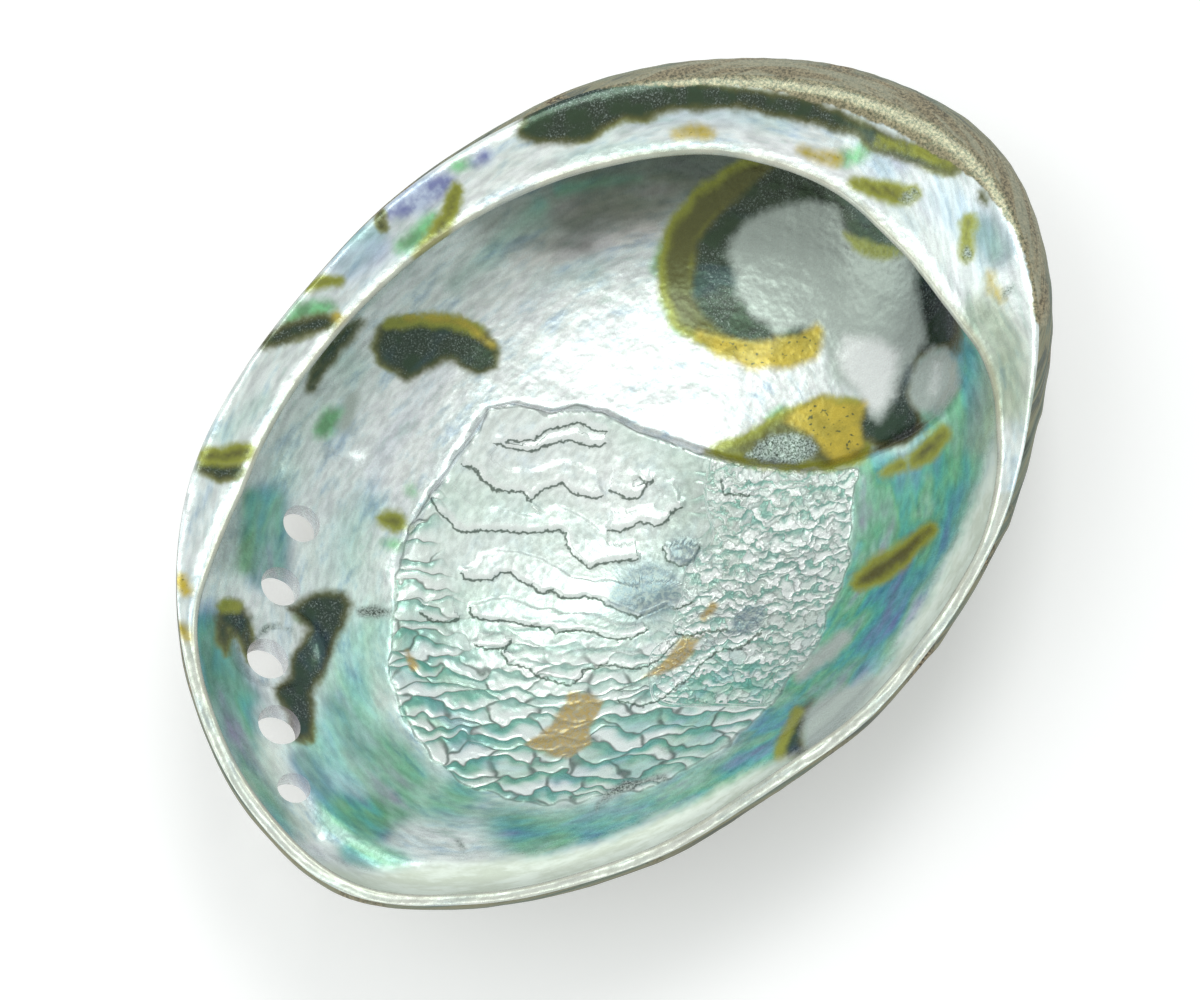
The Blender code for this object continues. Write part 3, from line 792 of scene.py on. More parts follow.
# Soft colour patches of the inside: colour, strength, reach in pixels, and the line they follow
floorTints = [
    # white nacre in the bowl's upper middle, partly a painted highlight where the softbox shines
    ("white", 1.6, 60, [(520, 380), (600, 320), (680, 360), (750, 400)]),
    ("silver", 1.0, 45, [(470, 400), (540, 290), (620, 260), (680, 300)]),
    # painted shade under the plate's overhang and along its inner edge
    ("overhangShade", 5.0, 30, [(600, 175), (660, 165), (740, 165), (820, 175), (890, 210)]),
    ("overhangShade", 1.6, 22, [(500, 222), (560, 195)]),
    ("silver", 2.6, 26, [(455, 300), (490, 262), (520, 240)]),
    ("wine", 4.0, 20, [(592, 217), (616, 210), (645, 200)]),
    ("wine", 3.0, 9, [(512, 246), (545, 243), (585, 246)]),
    # painted shade between the wine streaks under the plate's edge
    ("overhangShade", 2.4, 9, [(520, 232), (560, 222), (585, 228)]),
    ("teal", 1.6, 7, [(560, 190), (600, 182), (640, 178)]),
    ("pink", 1.6, 9, [(520, 260), (560, 260), (610, 242), (650, 232)]),
    ("aqua", 1.6, 10, [(486, 262), (512, 232), (540, 222)]),
    ("teal", 1.4, 9, [(455, 285), (500, 245), (540, 205)]),
    ("aqua", 1.3, 14, [(540, 285), (590, 270)]),
    ("lavender", 0.9, 9, [(520, 310), (560, 275), (610, 250)]),
    # white nacre, partly a painted highlight on the shiny slope below the plate
    ("white", 4.6, 26, [(500, 320), (525, 295), (560, 300)]),
    ("aqua", 0.5, 18, [(345, 370), (300, 440), (268, 500), (240, 560)]),
    ("lavender", 1.4, 12, [(368, 500), (385, 455), (415, 405), (440, 372)]),
    ("white", 5.0, 24, [(395, 470), (405, 425), (440, 385)]),
    ("silver", 1.6, 26, [(300, 440), (330, 400), (350, 440), (340, 500)]),
    ("aqua", 1.0, 16, [(345, 560), (350, 520), (370, 500)]),
    ("steel", 4.0, 13, [(268, 502), (270, 535), (268, 572)]),
    ("green", 3.0, 7, [(252, 498), (250, 535), (247, 565)]),
    ("mint", 2.0, 24, [(345, 560), (345, 590), (366, 650)]),
    ("lagoon", 3.0, 22, [(366, 640), (356, 690), (350, 720)]),
    ("steel", 8.0, 18, [(205, 640), (222, 690), (236, 725)]),
    ("teal", 3.5, 11, [(242, 705), (252, 765), (285, 830)]),
    ("cream", 2.6, 10, [(256, 715), (268, 780), (300, 830)]),
    ("lagoon", 1.6, 20, [(318, 745), (345, 770)]),
    ("teal", 2.6, 24, [(385, 760), (420, 795), (455, 805)]),
    ("violet", 4.0, 11, [(340, 705), (350, 730), (360, 750)]),
    ("violet", 3.5, 10, [(305, 760), (322, 790), (330, 810)]),
    ("deepTeal", 6.0, 15, [(340, 812), (370, 822), (392, 806)]),
    ("violet", 1.5, 8, [(345, 825), (380, 832)]),
    ("pink", 1.0, 9, [(378, 700), (372, 660), (380, 640)]),
    ("mint", 1.2, 10, [(410, 720), (440, 780), (420, 800)]),
    ("teal", 2.0, 10, [(352, 852), (400, 860)]),
    ("silver", 2.4, 22, [(420, 838), (455, 836), (485, 838)]),
    ("teal", 4.0, 17, [(500, 828), (560, 842), (620, 832), (680, 805), (740, 775), (790, 722)]),
    ("aqua", 2.0, 14, [(540, 830), (620, 815), (700, 775)]),
    ("violet", 3.0, 9, [(505, 822), (540, 838)]),
    ("teal", 5.0, 26, [(800, 700), (860, 630), (900, 570), (935, 510), (950, 450), (962, 390),
                       (966, 330)]),
    ("deepTeal", 2.4, 16, [(905, 575), (938, 505), (950, 470)]),
    ("teal", 5.0, 20, [(878, 478), (884, 530), (866, 585), (846, 636)]),
    ("green", 1.2, 13, [(880, 640), (905, 500), (950, 470), (985, 420), (985, 350)]),
    ("violet", 5.0, 7, [(747, 738), (800, 702), (858, 660), (905, 612), (935, 565), (965, 490)]),
    ("steel", 2.0, 6, [(840, 640), (880, 600), (925, 540), (950, 490)]),
    ("aqua", 1.4, 8, [(760, 758), (800, 725), (870, 690), (915, 635), (950, 570), (975, 510)]),
    ("stone", 6.0, 14, [(992, 340), (988, 385), (972, 440)]),
    ("cream", 1.8, 14, [(1008, 360), (1015, 420)]),
]

scarTints = [
    ("white", 2.2, 40, [(500, 440), (560, 460), (620, 500)]),
    ("white", 2.2, 30, [(470, 545), (520, 555), (580, 570)]),
    ("mint", 2.0, 32, [(470, 520), (560, 550), (600, 580), (560, 610)]),
    ("mint", 1.4, 30, [(460, 600), (520, 650), (600, 660)]),
    ("paleGrey", 2.4, 50, [(720, 530), (780, 540), (760, 620)]),
    ("aqua", 2.2, 34, [(430, 700), (500, 740), (580, 760), (650, 740), (720, 690)]),
    ("teal", 1.0, 22, [(420, 640), (430, 720), (480, 770), (560, 785), (660, 750), (760, 680)]),
    ("slate", 4.0, 20, [(632, 592), (650, 592)]),
    ("lavender", 1.4, 14, [(640, 580), (655, 584)]),
    ("slate", 2.6, 11, [(682, 552), (686, 546)]),
    ("paleGrey", 2.0, 13, [(725, 625), (745, 612), (758, 605)]),
    ("grey", 0.8, 20, [(690, 500), (740, 480), (830, 500)]),
]

# Crisp marks of the inside: strokes of (x, y, radius), or closed outlines of (x, y), in pixels
floorMarks = {
    "dark": [
        # the dark patch of the hollow, which under the plate's overhang also stands for painted
        # shade
        [(690, 290), (692, 255), (702, 232), (722, 208), (745, 188), (775, 165), (820, 150),
         (880, 165), (915, 200), (940, 245), (955, 290), (959, 330), (957, 352), (945, 348),
         (932, 350), (918, 362), (912, 383), (909, 395), (914, 406), (922, 420), (918, 434),
         (905, 444), (880, 447), (863, 440), (857, 425), (862, 408), (868, 396), (850, 360),
         (826, 336), (800, 336), (775, 345), (740, 347), (715, 330), (697, 312)],
        [(372, 345), (378, 330), (395, 321), (420, 318), (445, 319), (470, 325), (488, 334),
         (498, 350), (495, 366), (480, 373), (466, 368), (455, 358), (440, 362), (425, 372),
         (408, 379), (395, 370), (378, 362)],
        [(360, 322, 4), (345, 335, 6), (328, 355, 7), (316, 376, 5), (311, 388, 3)],
        [(290, 608), (311, 596), (342, 593), (351, 605), (339, 635), (325, 663), (312, 695),
         (312, 740), (293, 740), (290, 715), (276, 691), (291, 677), (293, 656), (309, 630)],
        [(219, 606), (236, 601), (249, 617), (253, 645), (251, 662), (241, 640), (229, 630),
         (226, 654), (219, 640)],
        [(779, 757), (784, 735), (795, 715), (814, 700), (806, 720), (802, 745), (808, 757)],
    ],
    "pale": [
        [(728, 252), (735, 235), (748, 221), (768, 210), (788, 204), (815, 201), (836, 206),
         (842, 222), (852, 240), (868, 250), (890, 255), (908, 252), (916, 275), (918, 302),
         (925, 339), (916, 356), (900, 378), (891, 399), (884, 416), (878, 421), (872, 416),
         (868, 398), (850, 390), (832, 378), (824, 352), (822, 332), (802, 327), (778, 331),
         (755, 317), (740, 298), (735, 275)],
        [(912, 383), (918, 362), (932, 350), (946, 348), (957, 365), (957, 390), (945, 405),
         (928, 412), (914, 404), (909, 392)],
        [(799, 677, 4), (815, 662, 7), (832, 648, 8), (843, 638, 6)],
        [(808, 755), (803, 735), (806, 715), (818, 700), (840, 690), (870, 676), (885, 680),
         (870, 700), (850, 722), (830, 742)],
        [(345, 425, 6), (352, 400, 8)],
    ],
    "moss": [
        [(770, 168, 18), (735, 186, 19), (708, 208, 20), (690, 230, 20), (680, 256, 20),
         (679, 285, 20), (688, 312, 19), (706, 330, 15), (730, 346, 9)],
        [(708, 452), (730, 440), (755, 432), (775, 418), (800, 406), (822, 400), (850, 399),
         (868, 404), (862, 430), (872, 446), (860, 462), (830, 468), (800, 469), (760, 465),
         (730, 459)],
    ],
    "olive": [
        [(846, 234, 2), (858, 246, 4), (878, 251, 5), (898, 252, 3)],
        [(390, 324, 4), (420, 319, 5), (450, 321, 6), (476, 330, 6)],
        [(383, 519, 6), (396, 522, 9)],
        [(857, 584, 7), (878, 570, 12), (900, 556, 11), (912, 544, 8), (929, 529, 6)],
        [(884, 473, 4), (902, 465, 5)],
        [(914, 460, 7), (930, 447, 10), (944, 434, 7)],
        [(779, 757, 3), (786, 733, 3), (799, 711, 2)],
        [(224, 606, 5), (236, 606, 4)],
    ],
    "gold": [
        [(700, 336, 5), (722, 347, 9), (752, 355, 13), (786, 354, 15), (808, 347, 14),
         (817, 330, 6)],
        [(786, 420), (800, 406), (822, 398), (845, 402), (864, 405), (858, 424), (862, 444),
         (850, 458), (834, 458), (822, 446), (806, 432)],
        [(408, 318, 1), (432, 317, 2), (462, 322, 2), (492, 345, 2)],
    ],
    "green": [
        [(322, 430, 7), (332, 418, 10), (345, 411, 5)],
        [(474, 352, 8), (486, 358, 7)],
        [(775, 418, 6), (782, 412, 4)],
        [(302, 615, 5), (318, 606, 7), (334, 604, 5)],
        [(388, 544, 4), (397, 545, 4)],
        [(668, 300, 7), (680, 325, 6)],
        [(411, 489, 4), (414, 493, 3)],
        [(656, 272, 5), (664, 250, 6)],
    ],
    "charcoal": [
        [(745, 456), (757, 444), (775, 436), (796, 434), (812, 437), (818, 448), (813, 459),
         (797, 463), (770, 463), (752, 461)],
        [(361, 612, 4), (376, 612, 6), (388, 611, 4)],
        [(458, 842, 2), (463, 848, 3)],
        [(594, 812, 1), (600, 801, 3), (610, 793, 4), (625, 786, 4), (645, 781, 3), (664, 778, 2)],
        [(256, 648, 1), (258, 636, 2), (266, 628, 2), (280, 625, 2), (292, 631, 2), (296, 642, 1)],
    ],
    # painted highlights: a white shine beside the pale patch and two glints on the small pale
    # bubble
    "shine": [
        [(846, 338), (870, 338), (898, 350), (896, 372), (890, 395), (882, 410), (872, 408),
         (860, 392), (846, 378), (838, 358)],
        [(936, 366, 1), (934, 392, 1)],
    ],
    "slate": [
        [(606, 602), (616, 588), (630, 574), (650, 564), (668, 567), (677, 580), (678, 598),
         (668, 611), (652, 619), (634, 612), (618, 608)],
        [(668, 548), (676, 540), (690, 542), (700, 552), (694, 562), (680, 566), (670, 560)],
        [(725, 634), (733, 618), (750, 606), (764, 606), (762, 622), (748, 634)],
    ],
    "ochre": [
        [(570, 693), (588, 694), (606, 700), (598, 715), (590, 727), (590, 745), (572, 757),
         (556, 757), (540, 752), (524, 744), (548, 726), (562, 708)],
        [(703, 636), (694, 652), (678, 668), (660, 676), (642, 678), (658, 664), (672, 650),
         (684, 638)],
        [(703, 617, 4), (712, 606, 5)],
        [(408, 652, 3), (414, 668, 4)],
    ],
    "cream": [
        [(184, 600, 3), (184, 640, 5), (195, 690, 6), (210, 735, 7), (232, 775, 7),
         (255, 812, 7), (285, 848, 8), (315, 872, 10), (360, 888, 14), (420, 890, 24),
         (480, 888, 27), (540, 884, 27), (600, 868, 25), (660, 842, 23), (720, 813, 22),
         (770, 783, 18), (806, 763, 8)],
        [(850, 735, 8), (895, 690, 19), (925, 645, 20), (955, 592, 20), (980, 540, 20),
         (1000, 488, 17), (1012, 440, 15), (1022, 390, 10)],
    ],
}

plateTints = [
    ("white", 2.0, 40, [(520, 175), (620, 145), (720, 140), (800, 160)]),
    ("silver", 1.4, 30, [(240, 430), (290, 370), (215, 540)]),
    ("aqua", 1.0, 9, [(225, 435), (262, 400)]),
    ("aqua", 0.8, 12, [(600, 130), (700, 112), (780, 125)]),
    ("lavender", 1.0, 10, [(640, 122), (700, 112), (750, 116)]),
    ("lavender", 2.0, 14, [(345, 262), (372, 246)]),
    ("aqua", 1.2, 8, [(350, 240), (375, 232)]),
    ("lavender", 1.4, 12, [(880, 165), (895, 160)]),
    ("slate", 4.0, 12, [(984, 230), (996, 250)]),
    ("mint", 0.7, 20, [(520, 150), (500, 165)]),
    ("lavender", 0.5, 20, [(940, 200), (1000, 240)]),
    ("stone", 4.0, 16, [(985, 318), (1002, 345), (1010, 400)]),
    ("aqua", 1.6, 7, [(560, 158), (620, 148), (680, 145)]),
    ("grey", 1.6, 7, [(540, 168), (600, 155), (660, 149), (740, 150)]),
]

plateMarks = {
    "dark": [
        [(516, 134), (526, 112), (560, 92), (590, 85), (650, 78), (700, 82), (750, 88),
         (800, 97), (840, 111), (868, 126), (900, 140), (935, 152), (962, 168), (955, 174),
         (930, 167), (900, 158), (875, 149), (856, 136), (829, 128), (800, 119), (770, 114),
         (748, 109), (715, 108), (684, 108), (660, 113), (645, 121), (625, 119), (600, 131),
         (590, 140), (570, 143), (552, 141), (536, 142)],
        [(264, 345, 4), (285, 333, 8), (310, 325, 8), (332, 321, 5)],
        [(207, 466, 7), (222, 472, 8), (236, 470, 6)],
        [(379, 214, 3), (383, 226, 3)],
        [(981, 196, 4), (984, 199, 3)],
    ],
    "pale": [],
    "olive": [
        [(457, 188, 5), (450, 212, 7), (439, 234, 8), (420, 254, 5)],
        [(308, 287, 4), (322, 281, 6), (340, 281, 3)],
        [(206, 456, 6), (225, 456, 9), (246, 452, 8)],
        [(853, 183, 5), (878, 189, 8), (900, 194, 9), (914, 192, 7)],
        [(969, 221, 7), (966, 238, 4), (967, 254, 6)],
        [(880, 141, 3), (915, 150, 3), (950, 164, 3)],
    ],
    "gold": [
        [(674, 134, 3), (692, 131, 6), (711, 133, 5)],
        [(800, 151, 3), (818, 155, 6), (836, 159, 5)],
        [(989, 274, 3), (990, 288, 5), (1001, 297, 4)],
        [(337, 317, 4), (341, 320, 3)],
        [(180, 580, 5), (186, 592, 4)],
        [(181, 628, 5), (187, 638, 4)],
    ],
    "green": [
        [(402, 246, 6), (414, 240, 9), (425, 229, 8), (432, 216, 5)],
        [(456, 167, 5), (468, 163, 5)],
        [(288, 322, 5), (304, 311, 9), (328, 308, 7)],
        [(846, 158, 7), (858, 155, 8), (868, 142, 5)],
    ],
    "violet": [
        [(390, 214, 7), (405, 206, 13), (425, 194, 14), (445, 182, 11)],
        [(474, 162, 5), (486, 155, 7)],
    ],
    "crust": [
        [(600, 86, 3), (640, 80, 6), (700, 72, 13), (750, 73, 16), (800, 79, 18), (853, 93, 19),
         (908, 113, 22), (960, 145, 21), (990, 170, 19), (1013, 198, 16), (1028, 230, 12),
         (1037, 272, 9), (1042, 320, 6)],
    ],
    "charcoal": [
        [(905, 197, 5), (914, 193, 5)],
        [(1005, 294, 4), (1012, 289, 3)],
        [(966, 250, 3), (968, 257, 3)],
    ],
}


streaks = {
    "flowRound": 60,             # stretch of the nacre's streaks round the pole and out from it
    "flowOut": 240,
    "growthRound": 14,           # the same for the bands of the back, round and out from the apex
    "growthOut": 330,
    "growthDown": 5,
    "poleSpread": (70, 45),      # size of the bands near the pole, and how far that reaches
    "thinLip": (142, 320),       # bearings between which the margin is the thin lip
}

markReach = 20.0                 # pixels to which the distances of marks are kept


def markField(px, py, marks):
    # how far inside the nearest mark each point lies, in pixels
    best = np.full(px.shape, -markReach)
    for mark in marks:
        if len(mark[0]) == 2:
            value = outlineField(px, py, mark)
        else:
            gap, along, side = pathField(px, py, mark)
            value = np.interp(along, np.arange(len(mark)), [point[2] for point in mark]) - gap
        best = np.maximum(best, value)
    return np.clip(best, -markReach, markReach)


def tintColors(px, py, tints, ground):
    # mean of the palette colours, each weighted by the bell curve of its distance over its reach
    total = np.full(px.shape, 0.5)
    color = 0.5 * np.array(palette[ground]) * np.ones((len(px), 1))
    for name, strength, reach, path in tints:
        gap, along, side = pathField(px, py, path)
        weight = strength * bell(gap, reach)
        color += weight[:, None] * np.array(palette[name])
        total += weight
    return color / total[:, None]


def storeMarkings(mesh):
    # everything that the materials read, worked out at every point of the finished mesh
    points = readArray(mesh.vertices, "co", 3) / mm
    section = readArray(mesh.attributes["section"].data, "value")
    px, py = toPixels(points)
    onFloor = section < 0.5
    for kind in dict.fromkeys(look[0] for look in markLooks):
        inner = markField(px, py, floorMarks.get(kind, []))
        plate = markField(px, py, plateMarks.get(kind, []))
        storeNumber(mesh, kind, np.where(onFloor, inner, plate))
    inside = scarField(px, py)
    mask = smooth(0.5 + inside / scar["edgeSoftness"]) * onFloor
    tint = tintColors(px, py, floorTints, "silver")
    tint = mix(tint, tintColors(px, py, scarTints, "mint"), mask[:, None])
    tint = np.where(onFloor[:, None], tint, tintColors(px, py, plateTints, "silver"))
    storeVector(mesh, "tint", tint)
    ripples, crumple = scarShares(px, py)
    storeNumber(mesh, "scar", np.where(onFloor, np.clip(inside, -30, 30), -30))
    storeNumber(mesh, "front", frontField(px, py))
    storeNumber(mesh, "rippleShare", ripples)
    storeNumber(mesh, "crumple", crumple)
    x, y = points[:, 0] - form["pole"][0], points[:, 1] - form["pole"][1]
    bearing = np.arctan2(y, x)
    sizes = sizesAt(np.degrees(bearing) % 360)
    share = np.hypot(x, y) / sizes["recess"]
    radius = streaks["flowRound"]
    storeVector(mesh, "flow", np.stack([radius * np.cos(bearing), radius * np.sin(bearing),
                                        streaks["flowOut"] * share], axis=1))
    reach = np.hypot(x - back["apex"][0], y - back["apex"][1])
    near, far = streaks["poleSpread"]
    spread = mix(near, sizes["equator"], smooth(np.hypot(x, y) / far))
    stage = reach / (reach + spread)
    turn = np.arctan2(y - back["apex"][1], x - back["apex"][0])
    radius = streaks["growthRound"]
    outward = streaks["growthOut"] * stage - streaks["growthDown"] * points[:, 2]
    storeVector(mesh, "growth", np.stack([radius * np.cos(turn), radius * np.sin(turn), outward],
                                         axis=1))
    start, end = streaks["thinLip"]
    thin = (np.degrees(bearing) % 360 > start) & (np.degrees(bearing) % 360 < end)
    storeNumber(mesh, "lipEdge", ((section > 0.5) & (section < 1.5) & thin) * 1.0)


# Shader building


class Shader:
    # a new material, and short ways to add nodes to it: each input is a link or a plain value

    def __init__(self, name):
        self.material = bpy.data.materials.new(name)
        self.material.use_nodes = True
        self.tree = self.material.node_tree
        self.surface = self.tree.nodes["Principled BSDF"]
        self.base = None
        metres = self.add("ShaderNodeTexCoord").outputs["Object"]
        self.place = self.vector("MULTIPLY", metres, (1 / mm, 1 / mm, 1 / mm))

    def put(self, node, values):
        # links each input whose value is a socket, and sets the others
        for key, value in values.items():
            if isinstance(value, bpy.types.NodeSocket):
                self.tree.links.new(value, node.inputs[key])
            else:
                node.inputs[key].default_value = value

    def add(self, kind, inputs=None, **settings):
        # a new node with these inputs and settings
        made = self.tree.nodes.new(kind)
        for name, value in settings.items():
            setattr(made, name, value)
        self.put(made, inputs or {})
        return made

    def attribute(self, name, output="Fac"):
        # what the mesh keeps under this name at its points
        return self.add("ShaderNodeAttribute", attribute_name=name).outputs[output]

    def calculate(self, operation, *values):
        # one operation on numbers
        return self.add("ShaderNodeMath", dict(enumerate(values)), operation=operation).outputs[0]

    def times(self, product, *others):
        # the first value times all the others
        for other in others:
            product = self.calculate("MULTIPLY", product, other)
        return product

    def scaled(self, value, factor, added):      # value times factor, plus what is added
        return self.calculate("MULTIPLY_ADD", value, factor, added)

    def vector(self, operation, *values):
        # one operation on vectors
        return self.add("ShaderNodeVectorMath", dict(enumerate(values)),
                        operation=operation).outputs[0]

    def step(self, value, low, high, start=0.0, end=1.0):
        # eased step from start at low to end at high
        return self.add("ShaderNodeMapRange", {0: value, 1: low, 2: high, 3: start, 4: end},
                        interpolation_type="SMOOTHSTEP").outputs[0]

    def band(self, value, low, full, fading, high):
        # rises from 0 at low to 1 at full, and falls from fading to 0 at high
        return self.times(self.step(value, low, full), self.step(value, fading, high, 1, 0))

    def noise(self, coords, scale, detail=3.0, roughness=0.55, output="Fac"):
        # layered noise from 0 to 1, with scale waves to each unit of the coordinates
        inputs = {"Vector": coords, "Scale": scale, "Detail": detail, "Roughness": roughness}
        return self.add("ShaderNodeTexNoise", inputs).outputs[output]

    def cells(self, coords, feature, output):    # pattern of rounded cells in plan
        return self.add("ShaderNodeTexVoronoi", {"Vector": coords, "Scale": 1.0},
                        voronoi_dimensions="2D", feature=feature).outputs[output]

    def ramp(self, value, stops):
        # colours by value, from (place, colour) stops
        made = self.add("ShaderNodeValToRGB", {0: value})
        elements = made.color_ramp.elements
        while len(elements) < len(stops):
            elements.new(0.5)
        for element, (place, color) in zip(elements, stops):
            element.position = place
            element.color = (*color, 1)
        return made.outputs[0]

    def color(self, name):
        # one colour of the palette, or a mixture: its first colour where the noise is low
        if name in palette:
            return (*palette[name], 1)
        coords, scale, detail, roughness, low, high, start, end, first, second = mixtures[name]
        coords = self.place if coords == "place" else self.attribute(coords, "Vector")
        share = self.step(self.noise(coords, scale, detail, roughness), low, high, start, end)
        return self.blend(share, self.color(first), self.color(second))

    def blend(self, share, a, b, kind="MIX"):    # colour a at share 0, and b at share 1
        return self.add("ShaderNodeMix", {0: share, 6: a, 7: b}, data_type="RGBA",
                        blend_type=kind).outputs[2]

    def paint(self, share, name):                # lays one named colour over the base colour
        self.base = self.blend(share, self.base, self.color(name))

    def finish(self, height, look, settings):
        # the base colour, the bump of a height and the surface's own settings
        bump = self.add("ShaderNodeBump", {"Strength": look["bump"], "Distance": look["bumpDepth"],
                        "Height": height})
        self.put(self.surface, {"Base Color": self.base, "Normal": bump.outputs[0], **settings})
        return self.material


mixtures = {
    # coordinates, scale, detail and roughness of a noise, its values where the change starts and
    # ends, the second colour's share at both, and the two colours
    "leaf": ("place", 0.30, 3, 0.55, 0.38, 0.62, 0, 1, "green", "fern"),
    "iris": ("place", 0.30, 3, 0.55, 0.38, 0.62, 0, 1, "violet", "lavender"),
    "rust": ("place", 0.35, 3, 0.55, 0.35, 0.65, 0, 1, "gold", "amber"),
    "soot": ("place", 3.6, 3, 0.70, 0.50, 0.74, 0, 0.7, "charcoal", "grey"),
    "shadowMoss": ("place", 0.22, 2, 0.55, 0.45, 0.62, 0, 1, "soot", "darkGreen"),
    "darkNacre": ("flow", 0.05, 3, 0.50, 0.52, 0.66, 0, 0.12, "shadowMoss", "steel"),
    "ash": ("place", 3.6, 3, 0.70, 0.36, 0.62, 0, 1, "charcoal", "grey"),
    "pebble": ("place", 1.6, 4, 0.65, 0.42, 0.66, 0, 1, "slate", "grey"),
    "earth": ("place", 1.6, 4, 0.65, 0.42, 0.60, 0, 1, "ochre", "tan"),
    "dullLip": ("flow", 0.16, 4, 0.65, 0.36, 0.62, 0.55, 1, "stone", "cream"),
    "grit": ("place", 2.2, 4, 0.70, 0.34, 0.66, 0, 1, "crust", "tan"),
    "scale": ("place", 2.2, 4, 0.70, 0.40, 0.62, 0, 1, "brown", "tan"),
}

markLooks = [
    # kind of mark, the pixels inside its edge where the colour starts and where it is full, its
    # strength and the colour, and for some the noise that thins it out: scale, detail and step
    ("green", -8, 7, 0.9, "leaf"),
    ("violet", -8, 9, 0.9, "iris"),
    ("moss", -8, 2, 1, "yellowGreen"),
    ("moss", 0, 12, 1, "olive"),
    ("dark", -7, 0, 1, "yellowGreen", (0.09, 1, 0.46, 0.60, 0.05, 0.8)),
    ("dark", -8, 3, 1, "olive"),
    ("dark", -3, 8, 1, "darkNacre"),
    ("pale", -8, 6, 1, "paleGrey"),
    # painted highlight in white
    ("shine", -9, 8, 0.75, "white"),
    ("olive", -7, 3, 1, "yellowGreen"),
    ("olive", 0, 10, 1, "olive"),
    ("gold", -7, 6, 1, "rust"),
    ("gold", 0, 6, 1, "olive", (1.5, 1, 0.66, 0.70, 0, 1)),
    ("charcoal", -4, 4, 1, "ash"),
    ("slate", -4, 3, 0.85, "pebble"),
    ("ochre", -3, 3, 0.92, "earth"),
    ("cream", -10, 9, 1, "dullLip"),
    ("crust", -1, 2, 1, "grit"),
]


# Nacre

nacreLook = {
    "metallic": 0.25,
    "coat": 0.3,
    "coatRoughness": 0.12,
    "roughness": (0.20, 0.34),
    "lipRoughness": 0.3,         # added where the lip is dull
    "film": 420.0,
    "filmIor": 1.6,
    "edgeWander": (12.0, 5.0),   # pixels by which a coarse and a fine noise move the marks' edges
    # scale, detail and roughness of the noises
    "coarse": (0.28, 2),
    "fine": (1.6, 4, 0.65),
    "hair": (0.30, 2, 0.5),
    "hueNoise": (0.05, 3, 0.5),
    "pearlNoise": (0.11, 4, 0.65),
    "glint": (0.82, 1.10),       # brightness between and on the hairlines
    "bump": 0.35,
    "bumpDepth": 0.0003,
    "hues": [(0.28, (0.20, 0.18, 0.50)), (0.38, (0.10, 0.34, 0.48)), (0.46, (0.10, 0.48, 0.40)),
             (0.54, (0.20, 0.52, 0.24)), (0.62, (0.34, 0.58, 0.40)), (0.72, (0.50, 0.42, 0.56))],
    "hueShare": (0.05, 0.60),    # on pale and on deep tints
    "pearl": [(0.30, (0.50, 0.62, 0.80)), (0.42, (0.86, 0.92, 0.96)), (0.50, (1, 1, 1)),
              (0.58, (0.92, 0.89, 0.93)), (0.70, (0.68, 0.76, 0.74))],
    "pearlShare": (0.8, 0.3),    # outside and inside the scar
    "noseEdge": 0.55,            # share of beige on the plate's free edge
    "lipEdge": 0.4,
}

scarLook = {
    "turn": math.radians(-50),           # the lumps lie level in the view
    "lumpSize": (7.0, 2.3, 1.0),         # millimetres along and across them
    "crumpSize": (2.2, 1.7, 1.0),
    "lumpSwirl": 5.0,                    # millimetres by which their pattern is bent
    "crumpSwirl": 2.6,
    "frontWander": 9.0,                  # pixels
    # shares of the painted highlights and painted shade on the scar
    "edgeHighlight": 0.6,
    "frontShade": 0.85,
    "crestHighlight": 0.80,
    "shadowTeal": 0.55,
    "troughShade": 0.80,
    "borderShade": 0.45,
}


